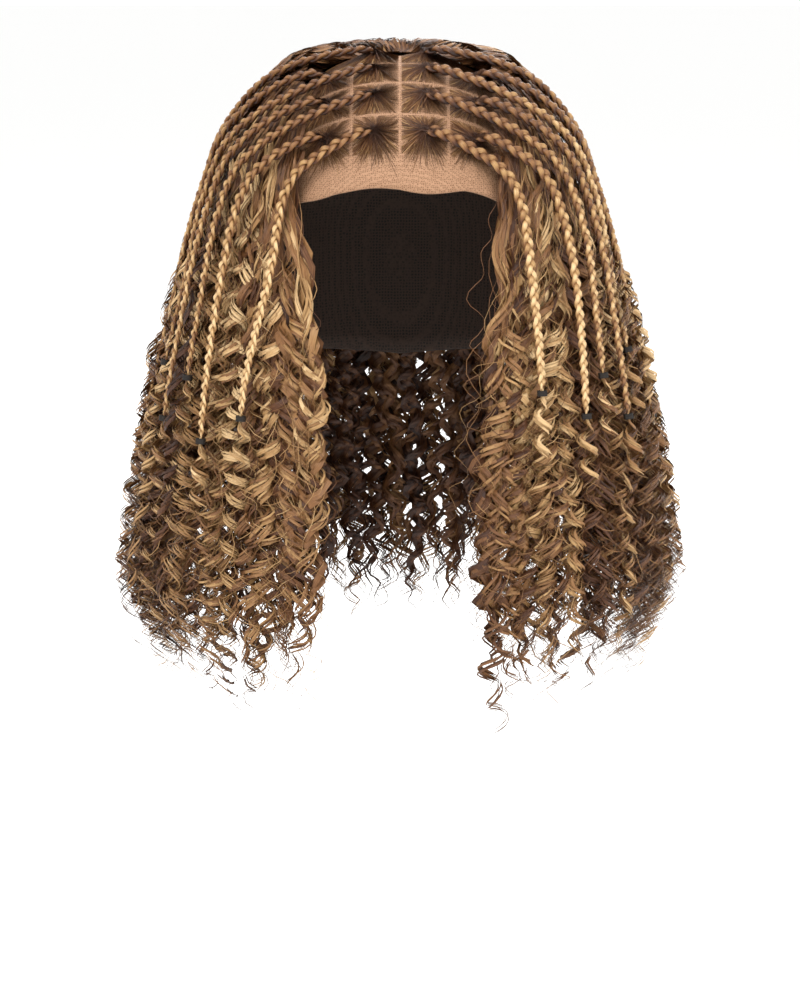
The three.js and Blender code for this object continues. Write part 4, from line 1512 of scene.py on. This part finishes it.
    def tail(self, plan: BraidPlan, tail: Array, draw: np.random.Generator) -> Strands:
        """Loose curl below a braid's elastic."""
        strands = Strands()
        lengths = run_lengths(tail)
        for _ in range(self.tail_hairs):
            reach = lengths[-1] * draw.uniform(0.6, 1.0)
            wanted = np.arange(0, reach, self.tail_step)
            centre = along_line(tail, lengths, wanted)
            out = self.form.outwards(centre)
            share = wanted / reach
            strands.add(
                centre + out * (draw.normal(0, 1.0) * smooth(wanted / 10))[:, None], out,
                phase=wanted / self.tail_pitch * TURN + draw.normal(0, 0.5),
                coil=draw.uniform(2.0, 3.8) * MM * smooth((wanted - 1) / 10) + 0.4 * MM,
                roundness=1.0, tone=np.clip(plan.tone + draw.normal(0.1, 0.12), 0.1, 1.0),
                girth=draw.uniform(0.4, 0.8) * np.clip((1 - share) / 0.2, 0.15, 1),
            )
        return strands

    def band(self, plan: BraidPlan, tail: Array) -> bpy.types.Object:
        """Small elastic wound round a braid's end.

        Args:
            plan: The braid.
            tail: Line below the braid, whose first point is the band's middle.

        Returns:
            The band, wound in three bulging turns.
        """
        axis = unit(tail[2] - tail[0])
        out = self.form.outwards(tail[:1])[0]
        aside = unit(np.cross(axis, out))
        out = np.cross(aside, axis)
        around, winds = self.band_around, self.band_winds
        angle = np.linspace(0, TURN, around + 1)
        rise = np.linspace(-0.5, 0.5, winds)
        bulge = 0.75 + 0.25 * np.abs(np.sin(rise * 3 * math.pi))

        def ring(radius: Array) -> Array:
            """Grid of points round the braid at a radius for each height."""
            flat = np.cos(angle)[:, None, None] * aside + np.sin(angle)[:, None, None] * out
            rows = flat * np.broadcast_to(radius, (around + 1, winds))[..., None]
            return tail[0] + rows + rise[None, :, None] * self.band_height * axis

        bore = self.neck_radius + self.band_clearance
        outer = ring(bore + self.band_wall + self.band_bulge * bulge)
        inner = ring(np.full(winds, bore))
        name = f"band_{plan.label}"
        return join_meshes([grid_mesh(name, outer, inner, self.elastic)], name)

    def build(self) -> None:
        """Builds every braid with its band."""
        for plan in braid_plans():
            draw = np.random.default_rng(SEED + 900 + plan.number + 50 * plan.side.value)
            line, tail = self.course(plan)
            name = f"plait_{plan.label}"
            roots, tail_hair = self.roots(plan, line, draw), self.tail(plan, tail, draw)
            meshes = [
                self.plait_tree.draw(
                    self.plait(plan, line), name, self.hair, self.width * self.strand_width,
                    self.thickness * self.strand_thickness,
                ),
                self.ribbon_tree.draw(roots, f"{name}_roots", self.hair, self.root_hair_width),
                self.ribbon_tree.draw(tail_hair, f"{name}_tail", self.hair, self.tail_width),
            ]
            settle(join_meshes(meshes, name), "braid_hair", f"braid_{plan.label}")
            settle(self.band(plan, tail), "elastic", f"elastic_{plan.label}")


# Studio


@dataclass
class Studio:
    """Pale floor, soft lights and the camera at the photograph's angle."""

    camera_back: float = 1300.0
    camera_height: float = 35.0
    camera_tilt: float = 11.2
    lens: float = 93.6
    sensor: float = 36.0
    floor_depth: float = 430.0
    floor_size: float = 120.0
    surround: str = "#ffffff"
    surround_strength: float = 1.05
    aim: tuple[float, float, float] = (0.0, 0.0, -0.13)
    lamps: tuple[tuple[str, tuple[float, float, float], float, float], ...] = (
        # name, place in m, size in m, watts
        ("key", (-0.9, -1.6, 1.3), 0.9, 34.0), ("fill", (1.3, -1.4, 0.7), 1.2, 20.0),
        ("top", (0.0, 0.1, 1.6), 1.0, 14.0), ("back", (0.5, 1.6, 0.9), 1.2, 18.0),
    )

    def camera(self) -> None:
        """Adds the camera."""
        data = bpy.data.cameras.new("camera")
        data.lens, data.sensor_width = self.lens, self.sensor
        made = bpy.data.objects.new("camera", data)
        made.location = (0, -self.camera_back * MM, self.camera_height * MM)
        made.rotation_euler = (math.radians(90 - self.camera_tilt), 0, 0)
        bpy.context.scene.collection.objects.link(made)
        bpy.context.scene.camera = made

    def lamp(self, name: str, place: tuple[float, float, float], size: float, watts: float) -> None:
        """Adds a square soft light that looks at the wig's middle."""
        data = bpy.data.lights.new(name, "AREA")
        data.size, data.energy = size, watts
        made = bpy.data.objects.new(name, data)
        made.location = place
        aim = Vector(self.aim) - made.location
        made.rotation_euler = aim.to_track_quat("-Z", "Y").to_euler()
        bpy.context.scene.collection.objects.link(made)

    def floor(self) -> None:
        """Adds the floor, which isn't part of the wig."""
        half = self.floor_size / 2
        mesh = bpy.data.meshes.new("floor")
        corners = [(-half, -half, 0), (half, -half, 0), (half, half, 0), (-half, half, 0)]
        mesh.from_pydata([(x, y, -self.floor_depth * MM) for x, y, _ in corners], [], [(0, 1, 2, 3)])
        mesh.materials.append(FloorFinish().material())
        made = bpy.data.objects.new("floor", mesh)
        bpy.context.scene.collection.objects.link(made)
        made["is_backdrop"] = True

    def build(self) -> None:
        """Adds the camera, the lights, the floor and a pale surround."""
        self.camera()
        self.floor()
        for lamp in self.lamps:
            self.lamp(*lamp)
        world = bpy.data.worlds.new("surround")
        world.use_nodes = True
        background = world.node_tree.nodes["Background"].inputs
        background["Color"].default_value = linear(self.surround)
        background["Strength"].default_value = self.surround_strength
        bpy.context.scene.world = world
        bpy.context.scene.view_settings.view_transform = "Standard"


SLICES = (
    Slice("curls_left_front", "hair_left_front", -74, -31, 0.6),
    Slice("curls_left_side", "hair_left_side", -117, -74, 0.4),
    Slice("curls_left_back", "hair_left_back", -159, -117, 0.35),
    Slice("curls_back", "hair_back", -201, -159, 0.35),
    Slice("curls_right_back", "hair_right_back", 117, 159, 0.35),
    Slice("curls_right_side", "hair_right_side", 74, 117, 0.35),
    Slice("curls_right_front", "hair_right_front", 31, 74, 0.5),
)


def main() -> None:
    """Builds the studio and every part of the wig."""
    logging.basicConfig(level=logging.INFO, format="%(name)s: %(message)s")
    Studio().build()
    form = HairForm()
    hair = HairFinish().material()
    ribbons = StrandTree(Profile.RIBBON, "hair_ribbons")
    rounds = StrandTree(Profile.ROUND, "plait_strands")
    WigCap(form.cap).build()
    loose = LooseHair(form, ribbons, hair)
    loose.crown()
    for slice_ in SLICES:
        loose.hang(slice_)
    Braids(form, rounds, ribbons, hair, ElasticFinish().material()).build()
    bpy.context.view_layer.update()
    total = sum(len(p.data.polygons) * 2 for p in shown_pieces() if p.type == "MESH")
    log.info("about %d triangles in all", total)


if __name__ == "__main__":
    main()
